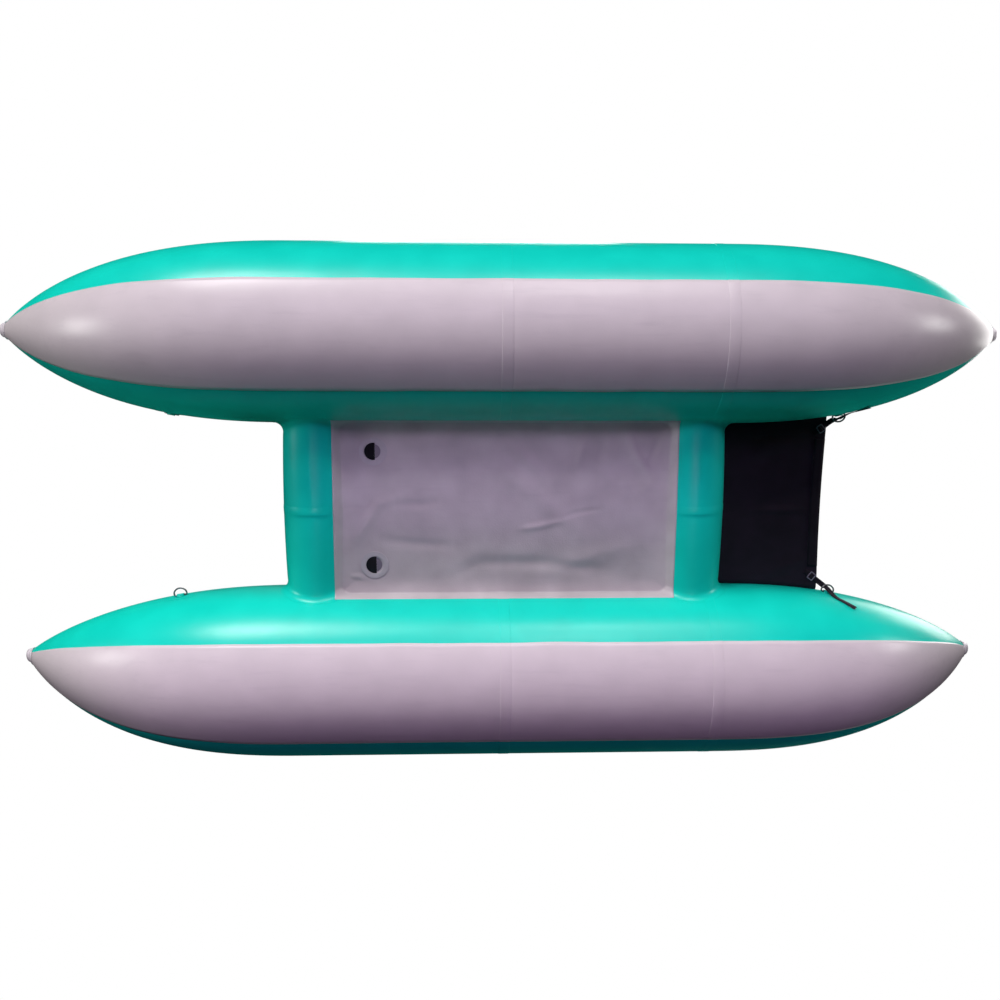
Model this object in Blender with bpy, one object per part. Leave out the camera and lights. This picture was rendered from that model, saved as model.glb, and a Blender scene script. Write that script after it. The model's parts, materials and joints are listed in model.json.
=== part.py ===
"""Inflatable cataraft: two pontoons, two cross tubes, a fabric floor and a cargo panel.

The craft stands deck up on its hull strips. X runs forward to the bow, Y to port
and Z up. The origin is on the ground, under the middle of the craft. All sizes
are in metres and all angles in degrees.
"""
import math
from itertools import pairwise

import bmesh
import bpy
from mathutils import Matrix, Vector

# Fits between pieces
SEAT_GAP = 0.0003
RUNNING_GAP = 0.0005

# Pontoons
LENGTH = 2.74
PONTOON_SPACING = 0.916
PONTOON_RADIUS = 0.2325
PONTOON_SIDES = 24
STRAIGHT_HALF = 0.56
PANEL_SHARES = (0.2, 0.34, 0.48, 0.61, 0.72, 0.82, 0.9)
LEAST_PANEL_SHARE = 0.03
TAPER_POWER = 2.4
TAPER_FULLNESS = 0.9
TIP_RISE = 0.14
TIP_RISE_POWER = 3.66
FABRIC = 0.001

# Grey strip under each pontoon
STRIP_THICKNESS = 0.0012
STRIP_HALF_ANGLE = 35.5
STRIP_TIP_ANGLE = 46.0
STRIP_SPREAD_POWER = 2.3

# Moulded cap on each pontoon tip
CAP_LENGTH = 0.024
CAP_WALL = 0.0012
CAP_NOSE = 0.002

# Cross tubes
BOW_TUBE_X = 0.515
STERN_TUBE_X = -0.495
CROSS_RADIUS = 0.085
CROSS_SIDES = 20
FLARE_LENGTH = 0.03
FLARE_GROWTH = 0.009
FLARE_STEPS = (0.4, 0.7, 1.0, 1.3, 1.65)
CROSS_OVERLAP = 0.05

# Floor panel
FLOOR_HEIGHT = 0.195
FLOOR_THICKNESS = 0.0009
FLOOR_GLUE_WIDTH = 0.032
FLOOR_ROLL = 0.026
ROLL_DROP = 0.004
LEAST_PANEL_WIDTH = 0.003
DRAIN_TO_TUBE = 0.1565
DRAIN_Y = 0.153
DRAIN_BORE_RADIUS = 0.0235
GROMMET_SLEEVE = 0.002
GROMMET_FLANGE_RADIUS = 0.037
GROMMET_FLANGE = 0.0015
GROMMET_SIDES = 20
DRAIN_SEAT_RADIUS = 0.0195
DRAIN_SEAT = 0.0014
DRAIN_WEB = 0.0011
FLAP_HINGE_BACK = 0.005
FLAP_THICKNESS = 0.0014
FLAP_RIM_GAP = 0.0005
FLAP_PIN_RADIUS = 0.00075
FLAP_PIN_PLAY = 0.00025
FLAP_PIN_HALF_LENGTH = 0.0236
FLAP_PIN_SIDES = 12

# Cargo panel behind the stern cross tube
CARGO_HEIGHT = 0.26
CARGO_THICKNESS = 0.0011
CARGO_TO_RING = 0.024
CARGO_GLUE_WIDTH = 0.025
CARGO_ROLL = 0.01
HEM_WIDTH = 0.03
HEM_THICKNESS = 0.0014
HEM_HALF_LENGTH = 0.178

# Straps and ladder locks at the cargo panel's aft corners
STRAP_WIDTH = 0.015
STRAP_THICKNESS = 0.0013
STRAP_START_AHEAD = 0.034
STRAP_START_Y = 0.192
STRAP_FLAT_SHARE = 0.78
STRAP_LIFT = 0.006
STRAP_TURNS = (25.0, 12.0)
EYE_FORWARD = 0.004
EYE_REACH = 0.0105
TAIL_STAND_OFF = 0.0035
TAIL_STEPS = ((0.014, 80.0), (0.034, 74.0), (0.056, 67.0))
LOCK_SHARE = 0.33
LOCK_THICKNESS = 0.002
LOCK_SLOT = 0.005
LOCK_BAR = 0.003
LOCK_RIM = 0.003

# D-rings and their keeper patches
RING_SHARE = 0.405
RING_WIRE_RADIUS = 0.0022
RING_HALF_WIDTH = 0.0175
RING_REACH = 0.0195
RING_POINTS = 10
PORT_BOW_RING_FOLD = 80.0
PATCH_LENGTH = 0.076
PATCH_WIDTH = 0.052
PATCH_THICKNESS = 0.0012
KEEPER_LENGTH = 0.02
KEEPER_WIDTH = 0.0105
KEEPER_WALL = 0.0014

# Carry handles
HANDLE_SHARE = 0.1
HANDLE_LENGTH = 0.14
HANDLE_BASE_WIDTH = 0.046
HANDLE_BASE = 0.003
HANDLE_GRIP_WIDTH = 0.026
HANDLE_GRIP = 0.004
HANDLE_CLEARANCE = 0.032
HANDLE_FOOT_INSET = 0.014
HANDLE_SHOULDER = 0.018

# Valves
VALVE_X = -0.4
CROSS_VALVE_Y = 0.1
VALVE_SIDES = 16
VALVE_BORE = 0.0125
VALVE_WALL = 0.0032
VALVE_FLANGE_RADIUS = 0.021
VALVE_FLANGE = 0.0028
VALVE_NECK = 0.0092
VALVE_DEPTH = 0.016
VALVE_WEB_TOP = -0.0065
VALVE_WEB = 0.0025
VALVE_SEAT_RADIUS = 0.009
VALVE_SEAT = 0.003
AIR_HOLE_RADIUS = 0.0036
AIR_HOLE_CIRCLE = 0.0078
AIR_HOLES = 3
NUT_RADIUS = 0.0205
NUT_HEIGHT = 0.006
STEM_RADIUS = 0.0022
STEM_HEAD_RADIUS = 0.006
STEM_HEAD = 0.0022
STEM_HEAD_UNDER = 0.0018
POPPET_RADIUS = 0.0115
POPPET = 0.0022
SPRING_WIRE = 0.0009
SPRING_RADIUS = 0.0044
SPRING_TURNS = 4
SPRING_POINTS = 8
LID_THICKNESS = 0.0022
LID_OVERHANG = 0.0006
LID_TAB = 0.005
LID_TAB_HALF_WIDTH = 0.004
HINGE_OFFSET = 0.0195
HINGE_KNUCKLE_RADIUS = 0.0021
HINGE_KNUCKLE_HALF = 0.003
HINGE_PIN_RADIUS = 0.0011
HINGE_EAR = 0.0024
HINGE_EAR_HALF = 0.0026

# Where the pieces lie, from the sizes above
HALF_LENGTH = LENGTH / 2 - CAP_NOSE
TAPER_LENGTH = HALF_LENGTH - STRAIGHT_HALF
CAP_START_SHARE = 1 - CAP_LENGTH / TAPER_LENGTH
PONTOON_FACET = 360 / PONTOON_SIDES
CROSS_FACET = 360 / CROSS_SIDES
CENTRE_Z = PONTOON_RADIUS + SEAT_GAP + STRIP_THICKNESS
FLANK_Y = PONTOON_SPACING / 2 - PONTOON_RADIUS
FLARE_START = FLANK_Y - FLARE_LENGTH
DRAIN_X = BOW_TUBE_X - DRAIN_TO_TUBE
DRAIN_TOP = FLOOR_HEIGHT + SEAT_GAP + GROMMET_FLANGE
DRAIN_SEAT_UNDER = DRAIN_TOP - DRAIN_SEAT
FLAP_HINGE_Z = DRAIN_SEAT_UNDER - FLAP_PIN_RADIUS - SEAT_GAP
RING_X = STRAIGHT_HALF + TAPER_LENGTH * RING_SHARE
CARGO_AFT_X = CARGO_TO_RING - RING_X
STRAP_UNDER = CARGO_HEIGHT - SEAT_GAP - STRAP_THICKNESS / 2
LOCK_TOP = CARGO_HEIGHT - 2 * SEAT_GAP - STRAP_THICKNESS
STRAP_BELOW_BAR = LOCK_TOP - LOCK_THICKNESS - SEAT_GAP - STRAP_THICKNESS / 2
HINGE_HEIGHT = VALVE_NECK + SEAT_GAP + LID_THICKNESS / 2
RING_BAR_HEIGHT = SEAT_GAP + PATCH_THICKNESS + RING_WIRE_RADIUS + RUNNING_GAP
DOWN = -1
UP = 1
STARBOARD = -1
PORT = 1
SIDES = {"port": PORT, "starboard": STARBOARD}
ENDS = {"bow": 1, "stern": -1}


def clear_scene():
    for item in list(bpy.data.objects):
        bpy.data.objects.remove(item, do_unlink=True)


def linear(channel):
    if channel <= 0.04045:
        return channel / 12.92
    return ((channel + 0.055) / 1.055) ** 2.4


def make_material(name, colour, roughness, metallic=0.0):
    """A Principled material from an sRGB hex colour."""
    made = bpy.data.materials.new(name)
    made.use_nodes = True
    shader = made.node_tree.nodes["Principled BSDF"]
    channels = [int(colour[i:i + 2], 16) / 255 for i in (0, 2, 4)]
    shader.inputs["Base Color"].default_value = (*map(linear, channels), 1.0)
    shader.inputs["Roughness"].default_value = roughness
    shader.inputs["Metallic"].default_value = metallic
    return made


def place(name, data, finish, frame=None):
    """Put a mesh or a curve in the scene as one named piece."""
    data.materials.clear()
    data.materials.append(finish)
    piece = bpy.data.objects.new(name, data)
    bpy.context.scene.collection.objects.link(piece)
    if frame is not None:
        piece.matrix_world = frame
    return piece


def finished_mesh(bm, name, recalculate=True):
    """Close a bmesh into mesh data with its faces pointing out."""
    bmesh.ops.remove_doubles(bm, verts=bm.verts, dist=1e-7)
    if recalculate:
        bmesh.ops.recalc_face_normals(bm, faces=bm.faces)
    data = bpy.data.meshes.new(name)
    bm.to_mesh(data)
    bm.free()
    return data


def smooth(piece, angle=28.0):
    piece.data.shade_smooth()
    piece.data.set_sharp_from_angle(angle=math.radians(angle))


def combine(piece, tool, operation, keep_tool=False):
    """Cut a piece with a tool, or join or intersect the two, and apply it."""
    modifier = piece.modifiers.new("combine", "BOOLEAN")
    modifier.operation = operation
    modifier.solver = "EXACT"
    modifier.object = tool
    bpy.context.view_layer.update()
    evaluated = piece.evaluated_get(bpy.context.evaluated_depsgraph_get())
    data = bpy.data.meshes.new_from_object(evaluated)
    piece.modifiers.clear()
    piece.data = data
    if not keep_tool:
        bpy.data.objects.remove(tool, do_unlink=True)


def guide(data, frame=None):
    """A cutter: in the scene, but hidden and no part of the craft."""
    tool = bpy.data.objects.new("guide", data)
    bpy.context.scene.collection.objects.link(tool)
    tool.hide_render = True
    tool.display_type = "WIRE"
    if frame is not None:
        tool.matrix_world = frame
    return tool


def box_mesh(low, high):
    bm = bmesh.new()
    bmesh.ops.create_cube(bm, size=1.0)
    low, high = Vector(low), Vector(high)
    size = high - low
    bmesh.ops.scale(bm, vec=size, verts=bm.verts)
    bmesh.ops.translate(bm, vec=(low + high) / 2, verts=bm.verts)
    return finished_mesh(bm, "box")


def turned_mesh(profile, sides):
    """Revolve a closed outline of (radius, height) points about Z."""
    bm = bmesh.new()
    points = [bm.verts.new((radius, 0, height)) for radius, height in profile]
    rim = [bm.edges.new(pair) for pair in pairwise([*points, points[0]])]
    bmesh.ops.spin(
        bm, geom=points + rim, cent=(0, 0, 0), axis=(0, 0, 1),
        angle=math.tau, steps=sides, use_merge=True)
    bmesh.ops.remove_doubles(bm, verts=bm.verts, dist=1e-7)
    bmesh.ops.dissolve_degenerate(bm, edges=bm.edges, dist=1e-7)
    return finished_mesh(bm, "turned")


def rod_mesh(radius, low, high, sides):
    return turned_mesh([(0, low), (radius, low), (radius, high), (0, high)], sides)


def sheet_mesh(near, far):
    """A closed sheet between two grids of points.

    A row may be one point longer at both ends than the row beside it, where the
    sheet's edges cross onto the next facets; a triangle fills each end there. Both
    faces are split along the same diagonals, so a twisted sheet keeps its thickness.
    """
    bm = bmesh.new()
    grids = [[[bm.verts.new(point) for point in row] for row in grid] for grid in (near, far)]
    for grid in grids:
        for first, second in pairwise(grid):
            short, long = sorted((first, second), key=len)
            extra = (len(long) - len(short)) // 2
            if extra:
                bm.faces.new((short[0], long[0], long[1]))
                bm.faces.new((short[-1], long[-1], long[-2]))
                long = long[1:-1]
            for (a, b), (c, d) in zip(pairwise(short), pairwise(long)):
                bm.faces.new((a, b, d))
                bm.faces.new((a, d, c))
    lower, upper = grids
    for index in (0, -1):
        for (a, b), (c, d) in zip(pairwise(lower[index]), pairwise(upper[index])):
            bm.faces.new((a, b, d, c))
        for (a, b), (c, d) in zip(pairwise(lower), pairwise(upper)):
            bm.faces.new((a[index], b[index], d[index], c[index]))
    return finished_mesh(bm, "sheet")


def add_loft(bm, rings, first_pole=None, last_pole=None):
    """Skin a row of rings; poles close the two ends."""
    made = []
    for first, second in pairwise(rings):
        for index, a in enumerate(first):
            following = (index + 1) % len(first)
            made.append(bm.faces.new((a, first[following], second[following], second[index])))
    for ring, pole in ((rings[0], first_pole), (rings[-1], last_pole)):
        if pole is None:
            continue
        for index, a in enumerate(ring):
            made.append(bm.faces.new((a, ring[(index + 1) % len(ring)], pole)))
    return made


def facet_breaks(start, end, facet):
    """Angles from start to end, with every facet corner between them."""
    low, high = min(start, end), max(start, end)
    first = math.ceil((low - facet / 2) / facet)
    corners = []
    corner = (first + 0.5) * facet
    while corner < high - 1e-6:
        if corner > low + 1e-6:
            corners.append(corner)
        corner += facet
    angles = [low, *corners, high]
    return angles if start < end else angles[::-1]


def facet_reach(radius, angle, facet):
    """Distance to a facet at an angle, where radius is the distance to its middle."""
    return radius / math.cos(math.radians(angle - round(angle / facet) * facet))


# Pontoon surface


def strip_angle(share):
    spread = STRIP_TIP_ANGLE - STRIP_HALF_ANGLE
    return STRIP_HALF_ANGLE + spread * share ** STRIP_SPREAD_POWER


def crossing_shares():
    """Where the grey strip's edge crosses a facet corner of the pontoon."""
    spread = STRIP_TIP_ANGLE - STRIP_HALF_ANGLE
    corners = facet_breaks(STRIP_HALF_ANGLE, STRIP_TIP_ANGLE, PONTOON_FACET)[1:-1]
    found = [((corner - STRIP_HALF_ANGLE) / spread) ** (1 / STRIP_SPREAD_POWER) for corner in corners]
    return [share for share in found if share < CAP_START_SHARE]


def panel_shares():
    """Shares of the taper where the pontoon's panels meet."""
    fixed = [0.0, *crossing_shares(), CAP_START_SHARE]
    free = [
        share for share in PANEL_SHARES
        if all(abs(share - other) > LEAST_PANEL_SHARE for other in fixed)]
    return sorted(fixed + free)


def taper_x(share):
    return STRAIGHT_HALF + TAPER_LENGTH * share


SHARES = panel_shares()
STATIONS = [taper_x(share) for share in SHARES]


def ideal_section(share):
    radius = PONTOON_RADIUS * (1 - share ** TAPER_POWER) ** TAPER_FULLNESS
    return radius, TIP_RISE * share ** TIP_RISE_POWER


def pontoon_section(x):
    """Radius and rise of the panelled pontoon at x."""
    distance = min(abs(x), HALF_LENGTH)
    if distance <= STRAIGHT_HALF:
        return ideal_section(0.0)
    for (share, start), (next_share, end) in pairwise(zip([*SHARES, 1.0], [*STATIONS, HALF_LENGTH])):
        if distance <= end:
            part = (distance - start) / (end - start)
            pairs = zip(ideal_section(share), ideal_section(next_share))
            return tuple(low + (high - low) * part for low, high in pairs)
    return ideal_section(1.0)


def pontoon_point(side, x, angle, offset=0.0):
    """A point on a pontoon's skin; the angle runs outboard from the bottom."""
    radius, rise = pontoon_section(x)
    reach = facet_reach(radius + offset, angle, PONTOON_FACET)
    turn = math.radians(angle)
    y = side * (PONTOON_SPACING / 2 + reach * math.sin(turn))
    return Vector((x, y, CENTRE_Z + rise - reach * math.cos(turn)))


def pontoon_rings(side, offset):
    angles = [(index + 0.5) * PONTOON_FACET for index in range(PONTOON_SIDES)]
    places = [-x for x in reversed(STATIONS)] + STATIONS
    return [[pontoon_point(side, x, angle, offset) for angle in angles] for x in places]


def pontoon_pole(side, direction, beyond):
    return Vector((
        direction * (HALF_LENGTH + beyond), side * PONTOON_SPACING / 2, CENTRE_Z + TIP_RISE))


def add_pontoon_skin(bm, side, offset, beyond):
    rings = [[bm.verts.new(point) for point in ring] for ring in pontoon_rings(side, offset)]
    poles = [bm.verts.new(pontoon_pole(side, direction, beyond)) for direction in (-1, 1)]
    faces = add_loft(bm, rings, *poles)
    bmesh.ops.recalc_face_normals(bm, faces=faces)
    return faces


def pontoon_solid(side, offset):
    bm = bmesh.new()
    add_pontoon_skin(bm, side, offset, offset)
    return guide(finished_mesh(bm, "pontoon_solid"))


def pontoon_frame(side, x, angle):
    """Axes on a pontoon facet: X along the craft, Z straight out of the skin."""
    step = 0.002
    along = pontoon_point(side, x + step, angle) - pontoon_point(side, x - step, angle)
    across = pontoon_point(side, x, angle + 1) - pontoon_point(side, x, angle - 1)
    centre = Vector((x, side * PONTOON_SPACING / 2, CENTRE_Z))
    origin = pontoon_point(side, x, angle)
    along.normalize()
    outward = along.cross(across).normalized()
    if outward.dot(origin - centre) < 0:
        outward.negate()
    return frame_matrix(origin, along, outward)


def frame_matrix(origin, along, outward):
    sideways = outward.cross(along)
    rotation = Matrix((along, sideways, outward)).transposed()
    return Matrix.Translation(origin) @ rotation.to_4x4()


# Cross tube surface


def cross_radius(y):
    """Radius of a cross tube, which flares into the pontoons."""
    steps = [0.0, *FLARE_STEPS]
    places = [FLARE_START + FLARE_LENGTH * step for step in steps]
    radii = [CROSS_RADIUS + FLARE_GROWTH * step ** 2 for step in steps]
    distance = abs(y)
    if distance <= places[0]:
        return CROSS_RADIUS
    for index in range(len(steps) - 1):
        if distance <= places[index + 1]:
            part = (distance - places[index]) / (places[index + 1] - places[index])
            return radii[index] + (radii[index + 1] - radii[index]) * part
    return radii[-1]


def cross_point(tube_x, y, angle, offset=0.0):
    """A point on a cross tube; the angle runs forward from the bottom."""
    reach = facet_reach(cross_radius(y) + offset, angle, CROSS_FACET)
    turn = math.radians(angle)
    return Vector((tube_x + reach * math.sin(turn), y, CENTRE_Z - reach * math.cos(turn)))


def cross_places():
    half = [FLARE_START + FLARE_LENGTH * step for step in (0.0, *FLARE_STEPS)]
    half.append(FLANK_Y + CROSS_OVERLAP)
    return [-y for y in reversed(half)] + half


def cross_rings(tube_x, offset):
    angles = [(index + 0.5) * CROSS_FACET for index in range(CROSS_SIDES)]
    return [[cross_point(tube_x, y, angle, offset) for angle in angles] for y in cross_places()]


def cross_solid(tube_x, offset):
    bm = bmesh.new()
    rings = [[bm.verts.new(point) for point in ring] for ring in cross_rings(tube_x, offset)]
    add_loft(bm, rings)
    for ring in (rings[0], rings[-1]):
        bm.faces.new(ring)
    return guide(finished_mesh(bm, "cross_solid"))


def cross_frame(tube_x, y):
    """Axes on the top facet of a cross tube, with X pointing forward."""
    return frame_matrix(cross_point(tube_x, y, 180.0), Vector((1, 0, 0)), Vector((0, 0, 1)))


# Hull pieces


def add_pontoon(name, side, finish):
    bm = bmesh.new()
    add_pontoon_skin(bm, side, 0.0, 0.0)
    inner = add_pontoon_skin(bm, side, -FABRIC, -2 * FABRIC)
    bmesh.ops.reverse_faces(bm, faces=inner)
    piece = place(name, finished_mesh(bm, name, recalculate=False), finish)
    cutter = guide(valve_hole_mesh(), pontoon_valve_frame(side))
    combine(piece, cutter, "DIFFERENCE")
    smooth(piece)


def add_strip(name, side, finish):
    end = STATIONS[-1] - 2 * SEAT_GAP
    half = [*STATIONS[:-1], end]
    places = [-x for x in reversed(half)] + half
    shares = [*SHARES[:-1], (end - STRAIGHT_HALF) / TAPER_LENGTH]
    angles = [strip_angle(share) for share in shares]
    angles = angles[::-1] + angles
    grids = []
    for offset in (SEAT_GAP, SEAT_GAP + STRIP_THICKNESS):
        grids.append([
            [pontoon_point(side, x, turn, offset) for turn in facet_breaks(-angle, angle, PONTOON_FACET)]
            for x, angle in zip(places, angles)])
    smooth(place(name, sheet_mesh(*grids), finish))


def add_tip_cap(name, side, direction, finish):
    bm = bmesh.new()
    angles = [(index + 0.5) * PONTOON_FACET for index in range(PONTOON_SIDES)]
    rims = []
    for offset, beyond in ((SEAT_GAP, 2 * SEAT_GAP), (SEAT_GAP + CAP_WALL, CAP_NOSE)):
        start = direction * STATIONS[-1]
        ring = [bm.verts.new(pontoon_point(side, start, angle, offset)) for angle in angles]
        add_loft(bm, [ring], first_pole=bm.verts.new(pontoon_pole(side, direction, beyond)))
        rims.append(ring)
    add_loft(bm, rims)
    smooth(place(name, finished_mesh(bm, name), finish))


def add_cross_tube(name, tube_x, pontoon_cutters, finish):
    bm = bmesh.new()
    skins = []
    for offset in (0.0, -FABRIC):
        rings = [[bm.verts.new(point) for point in ring] for ring in cross_rings(tube_x, offset)]
        add_loft(bm, rings)
        skins.append(rings)
    for index in (0, -1):
        add_loft(bm, [skins[0][index], skins[1][index]])
    piece = place(name, finished_mesh(bm, name), finish)
    for cutter in pontoon_cutters:
        combine(piece, cutter, "DIFFERENCE", keep_tool=True)
    combine(piece, guide(valve_hole_mesh(), cross_frame(tube_x, CROSS_VALVE_Y)), "DIFFERENCE")
    smooth(piece)


# Fabric panels that wrap onto the tubes


class Panel:
    """A flat sheet whose edges roll onto the tubes around it.

    lean is DOWN where the edges wrap under the tubes and UP where they wrap over.
    Each grid line is a function that gives its place and height for a stand-off.
    """

    def __init__(self, height, thickness, lean, glue_width, roll):
        self.height = height
        self.thickness = thickness
        self.lean = lean
        self.glue_width = glue_width
        self.roll = roll

    def flat_height(self, offset):
        return self.height + self.lean * (offset - SEAT_GAP)

    def leave_angle(self, radius):
        """Angle from a tube's bottom at which the sheet leaves it."""
        drop = CENTRE_Z - (self.height + self.lean * ROLL_DROP)
        return math.degrees(math.acos(drop / radius))

    def glued_angles(self, radius, facet):
        leave = self.leave_angle(radius)
        edge = leave + self.lean * math.degrees(self.glue_width / radius)
        return facet_breaks(edge, leave, facet)

    def pontoon_lines(self, side):
        angles = self.glued_angles(PONTOON_RADIUS, PONTOON_FACET)
        lines = [self.on_pontoon(side, angle) for angle in angles]
        return [*lines, self.beside_pontoon(side, angles[-1])]

    def on_pontoon(self, side, angle):
        def line(x, offset):
            point = pontoon_point(side, x, -angle, offset)
            return point.y, point.z
        return line

    def beside_pontoon(self, side, angle):
        def line(x, offset):
            point = pontoon_point(side, x, -angle, SEAT_GAP)
            return side * (abs(point.y) - self.roll), self.flat_height(offset)
        return line

    def cross_lines(self, tube_x, facing):
        """Lines on a cross tube whose sheet lies on the side that facing points to."""
        angles = self.glued_angles(CROSS_RADIUS, CROSS_FACET)
        lines = [self.on_cross(tube_x, facing * angle) for angle in angles]
        return [*lines, self.beside_cross(tube_x, facing * angles[-1], facing)]

    def on_cross(self, tube_x, angle):
        def line(y, offset):
            point = cross_point(tube_x, y, angle, offset)
            return point.x, point.z
        return line

    def beside_cross(self, tube_x, angle, facing):
        def line(y, offset):
            point = cross_point(tube_x, y, angle, SEAT_GAP)
            return point.x + facing * self.roll, self.flat_height(offset)
        return line

    def flat_line(self, value):
        return lambda other, offset: (value, self.flat_height(offset))

    def across_lines(self):
        """All lines from starboard to port, with one at each step of the flares."""
        starboard, port = self.pontoon_lines(STARBOARD), self.pontoon_lines(PORT)
        reach = port[-1](0.0, SEAT_GAP)[0] - LEAST_PANEL_WIDTH
        steps = [self.flat_line(y) for y in cross_places() if abs(y) < reach]
        return [*starboard, *steps, *reversed(port)]

    def point(self, x_line, y_line, offset):
        x = x_line(0.0, offset)[0]
        for _ in range(3):
            y, y_height = y_line(x, offset)
            x, x_height = x_line(y, offset)
        pick = min if self.lean == DOWN else max
        return Vector((x, y, pick(x_height, y_height)))

    def mesh(self, x_lines, y_lines):
        grids = []
        for offset in (SEAT_GAP, SEAT_GAP + self.thickness):
            grids.append([
                [self.point(x_line, y_line, offset) for y_line in y_lines] for x_line in x_lines])
        return sheet_mesh(*grids)


FLOOR = Panel(FLOOR_HEIGHT, FLOOR_THICKNESS, DOWN, FLOOR_GLUE_WIDTH, FLOOR_ROLL)
CARGO = Panel(CARGO_HEIGHT, CARGO_THICKNESS, UP, CARGO_GLUE_WIDTH, CARGO_ROLL)


def add_floor(name, finish):
    x_lines = [*FLOOR.cross_lines(STERN_TUBE_X, 1), *reversed(FLOOR.cross_lines(BOW_TUBE_X, -1))]
    piece = place(name, FLOOR.mesh(x_lines, FLOOR.across_lines()), finish)
    hole = DRAIN_BORE_RADIUS + GROMMET_SLEEVE + SEAT_GAP
    for side in SIDES.values():
        low, high = FLOOR_HEIGHT - 10 * FLOOR_THICKNESS, FLOOR_HEIGHT + 10 * FLOOR_THICKNESS
        rod = rod_mesh(hole, low, high, GROMMET_SIDES)
        combine(piece, guide(rod, Matrix.Translation((DRAIN_X, side * DRAIN_Y, 0))), "DIFFERENCE")


def drain_frame(side):
    return Matrix.Translation((DRAIN_X, side * DRAIN_Y, 0))


def flap_pin(growth, lengthening):
    """The round pin along a flap's straight edge, or with growth the bore it turns in."""
    reach = FLAP_PIN_HALF_LENGTH + lengthening
    rod = rod_mesh(FLAP_PIN_RADIUS + growth, -reach, reach, FLAP_PIN_SIDES)
    rod.transform(Matrix.Rotation(math.pi / 2, 4, "X"))
    rod.transform(Matrix.Translation((-FLAP_HINGE_BACK, 0, FLAP_HINGE_Z)))
    return rod


def add_grommet(name, side, finish):
    """A drain: a ring clamped round the floor's hole, with a web over its stern half.

    The bow half is open. The flap closes it from beneath, against the ring's seat.
    """
    sleeve = DRAIN_BORE_RADIUS + GROMMET_SLEEVE
    top = FLOOR_HEIGHT + SEAT_GAP
    bottom = FLOOR_HEIGHT - FLOOR_THICKNESS - SEAT_GAP
    profile = [
        (DRAIN_BORE_RADIUS, bottom - GROMMET_FLANGE),
        (GROMMET_FLANGE_RADIUS, bottom - GROMMET_FLANGE),
        (GROMMET_FLANGE_RADIUS, bottom),
        (sleeve, bottom),
        (sleeve, top),
        (GROMMET_FLANGE_RADIUS, top),
        (GROMMET_FLANGE_RADIUS, DRAIN_TOP),
        (DRAIN_SEAT_RADIUS, DRAIN_TOP),
        (DRAIN_SEAT_RADIUS, DRAIN_SEAT_UNDER),
        (DRAIN_BORE_RADIUS, DRAIN_SEAT_UNDER)]
    frame = drain_frame(side)
    piece = place(name, turned_mesh(profile, GROMMET_SIDES), finish, frame)
    middle = (DRAIN_SEAT_UNDER + DRAIN_TOP) / 2
    web = rod_mesh(
        (DRAIN_SEAT_RADIUS + DRAIN_BORE_RADIUS) / 2,
        middle - DRAIN_WEB / 2, middle + DRAIN_WEB / 2, GROMMET_SIDES)
    web = place("web", web, finish, frame)
    reach = 2 * DRAIN_BORE_RADIUS
    open_half = box_mesh((-FLAP_HINGE_BACK, -reach, 0), (reach, reach, 2 * DRAIN_TOP))
    combine(web, guide(open_half, frame), "DIFFERENCE")
    combine(piece, web, "UNION")
    combine(piece, guide(flap_pin(FLAP_PIN_PLAY, FLAP_PIN_PLAY), frame), "DIFFERENCE")
    smooth(piece)


def add_flap(name, side, finish):
    """A half disc of rubber with a pin on its straight edge, both ends in the ring."""
    frame = drain_frame(side)
    half = FLAP_THICKNESS / 2
    disc = rod_mesh(
        DRAIN_BORE_RADIUS - FLAP_RIM_GAP, FLAP_HINGE_Z - half, FLAP_HINGE_Z + half, GROMMET_SIDES)
    piece = place(name, disc, finish, frame)
    reach = 2 * DRAIN_BORE_RADIUS
    stern_half = box_mesh((-reach, -reach, 0), (-FLAP_HINGE_BACK, reach, 2 * DRAIN_TOP))
    combine(piece, guide(stern_half, frame), "DIFFERENCE")
    combine(piece, guide(flap_pin(0, 0), frame), "UNION")
    smooth(piece)


def cargo_x_lines():
    front = CARGO.cross_lines(STERN_TUBE_X, -1)
    joins = [-x for x in STATIONS if front[-1](0.0, SEAT_GAP)[0] > -x > CARGO_AFT_X]
    return [*front, *(CARGO.flat_line(x) for x in joins), CARGO.flat_line(CARGO_AFT_X)]


def add_cargo_panel(name, finish):
    place(name, CARGO.mesh(cargo_x_lines(), CARGO.across_lines()), finish)


def add_hem(name, finish):
    top = CARGO_HEIGHT - SEAT_GAP
    low = (CARGO_AFT_X, -HEM_HALF_LENGTH, top - HEM_THICKNESS)
    place(name, box_mesh(low, (CARGO_AFT_X + HEM_WIDTH, HEM_HALF_LENGTH, top)), finish)


# Rigging on the pontoons


def ring_frame(side, direction):
    """Axes of a D-ring's bar, with Z pointing inboard off the pontoon."""
    frame = pontoon_frame(side, direction * RING_X, -90.0)
    return frame @ Matrix.Translation((0, 0, RING_BAR_HEIGHT))


def ring_outline():
    """The D: a straight bar, then an arch that reaches out from it."""
    rise = RING_REACH - RING_HALF_WIDTH
    points = [Vector((-RING_HALF_WIDTH, 0, 0)), Vector((0, 0, 0)), Vector((RING_HALF_WIDTH, 0, 0))]
    for index in range(RING_POINTS):
        turn = math.pi * index / (RING_POINTS - 1)
        across = RING_HALF_WIDTH * math.cos(turn)
        points.append(Vector((across, 0, rise + RING_HALF_WIDTH * math.sin(turn))))
    return points


def wire_curve(points, radius, closed):
    path = bpy.data.curves.new("wire", "CURVE")
    path.dimensions = "3D"
    path.bevel_depth = radius
    path.bevel_resolution = 1
    path.use_fill_caps = True
    spline = path.splines.new("POLY")
    spline.points.add(len(points) - 1)
    for target, point in zip(spline.points, points):
        target.co = (*point, 1.0)
    spline.use_cyclic_u = closed
    return path


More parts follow.
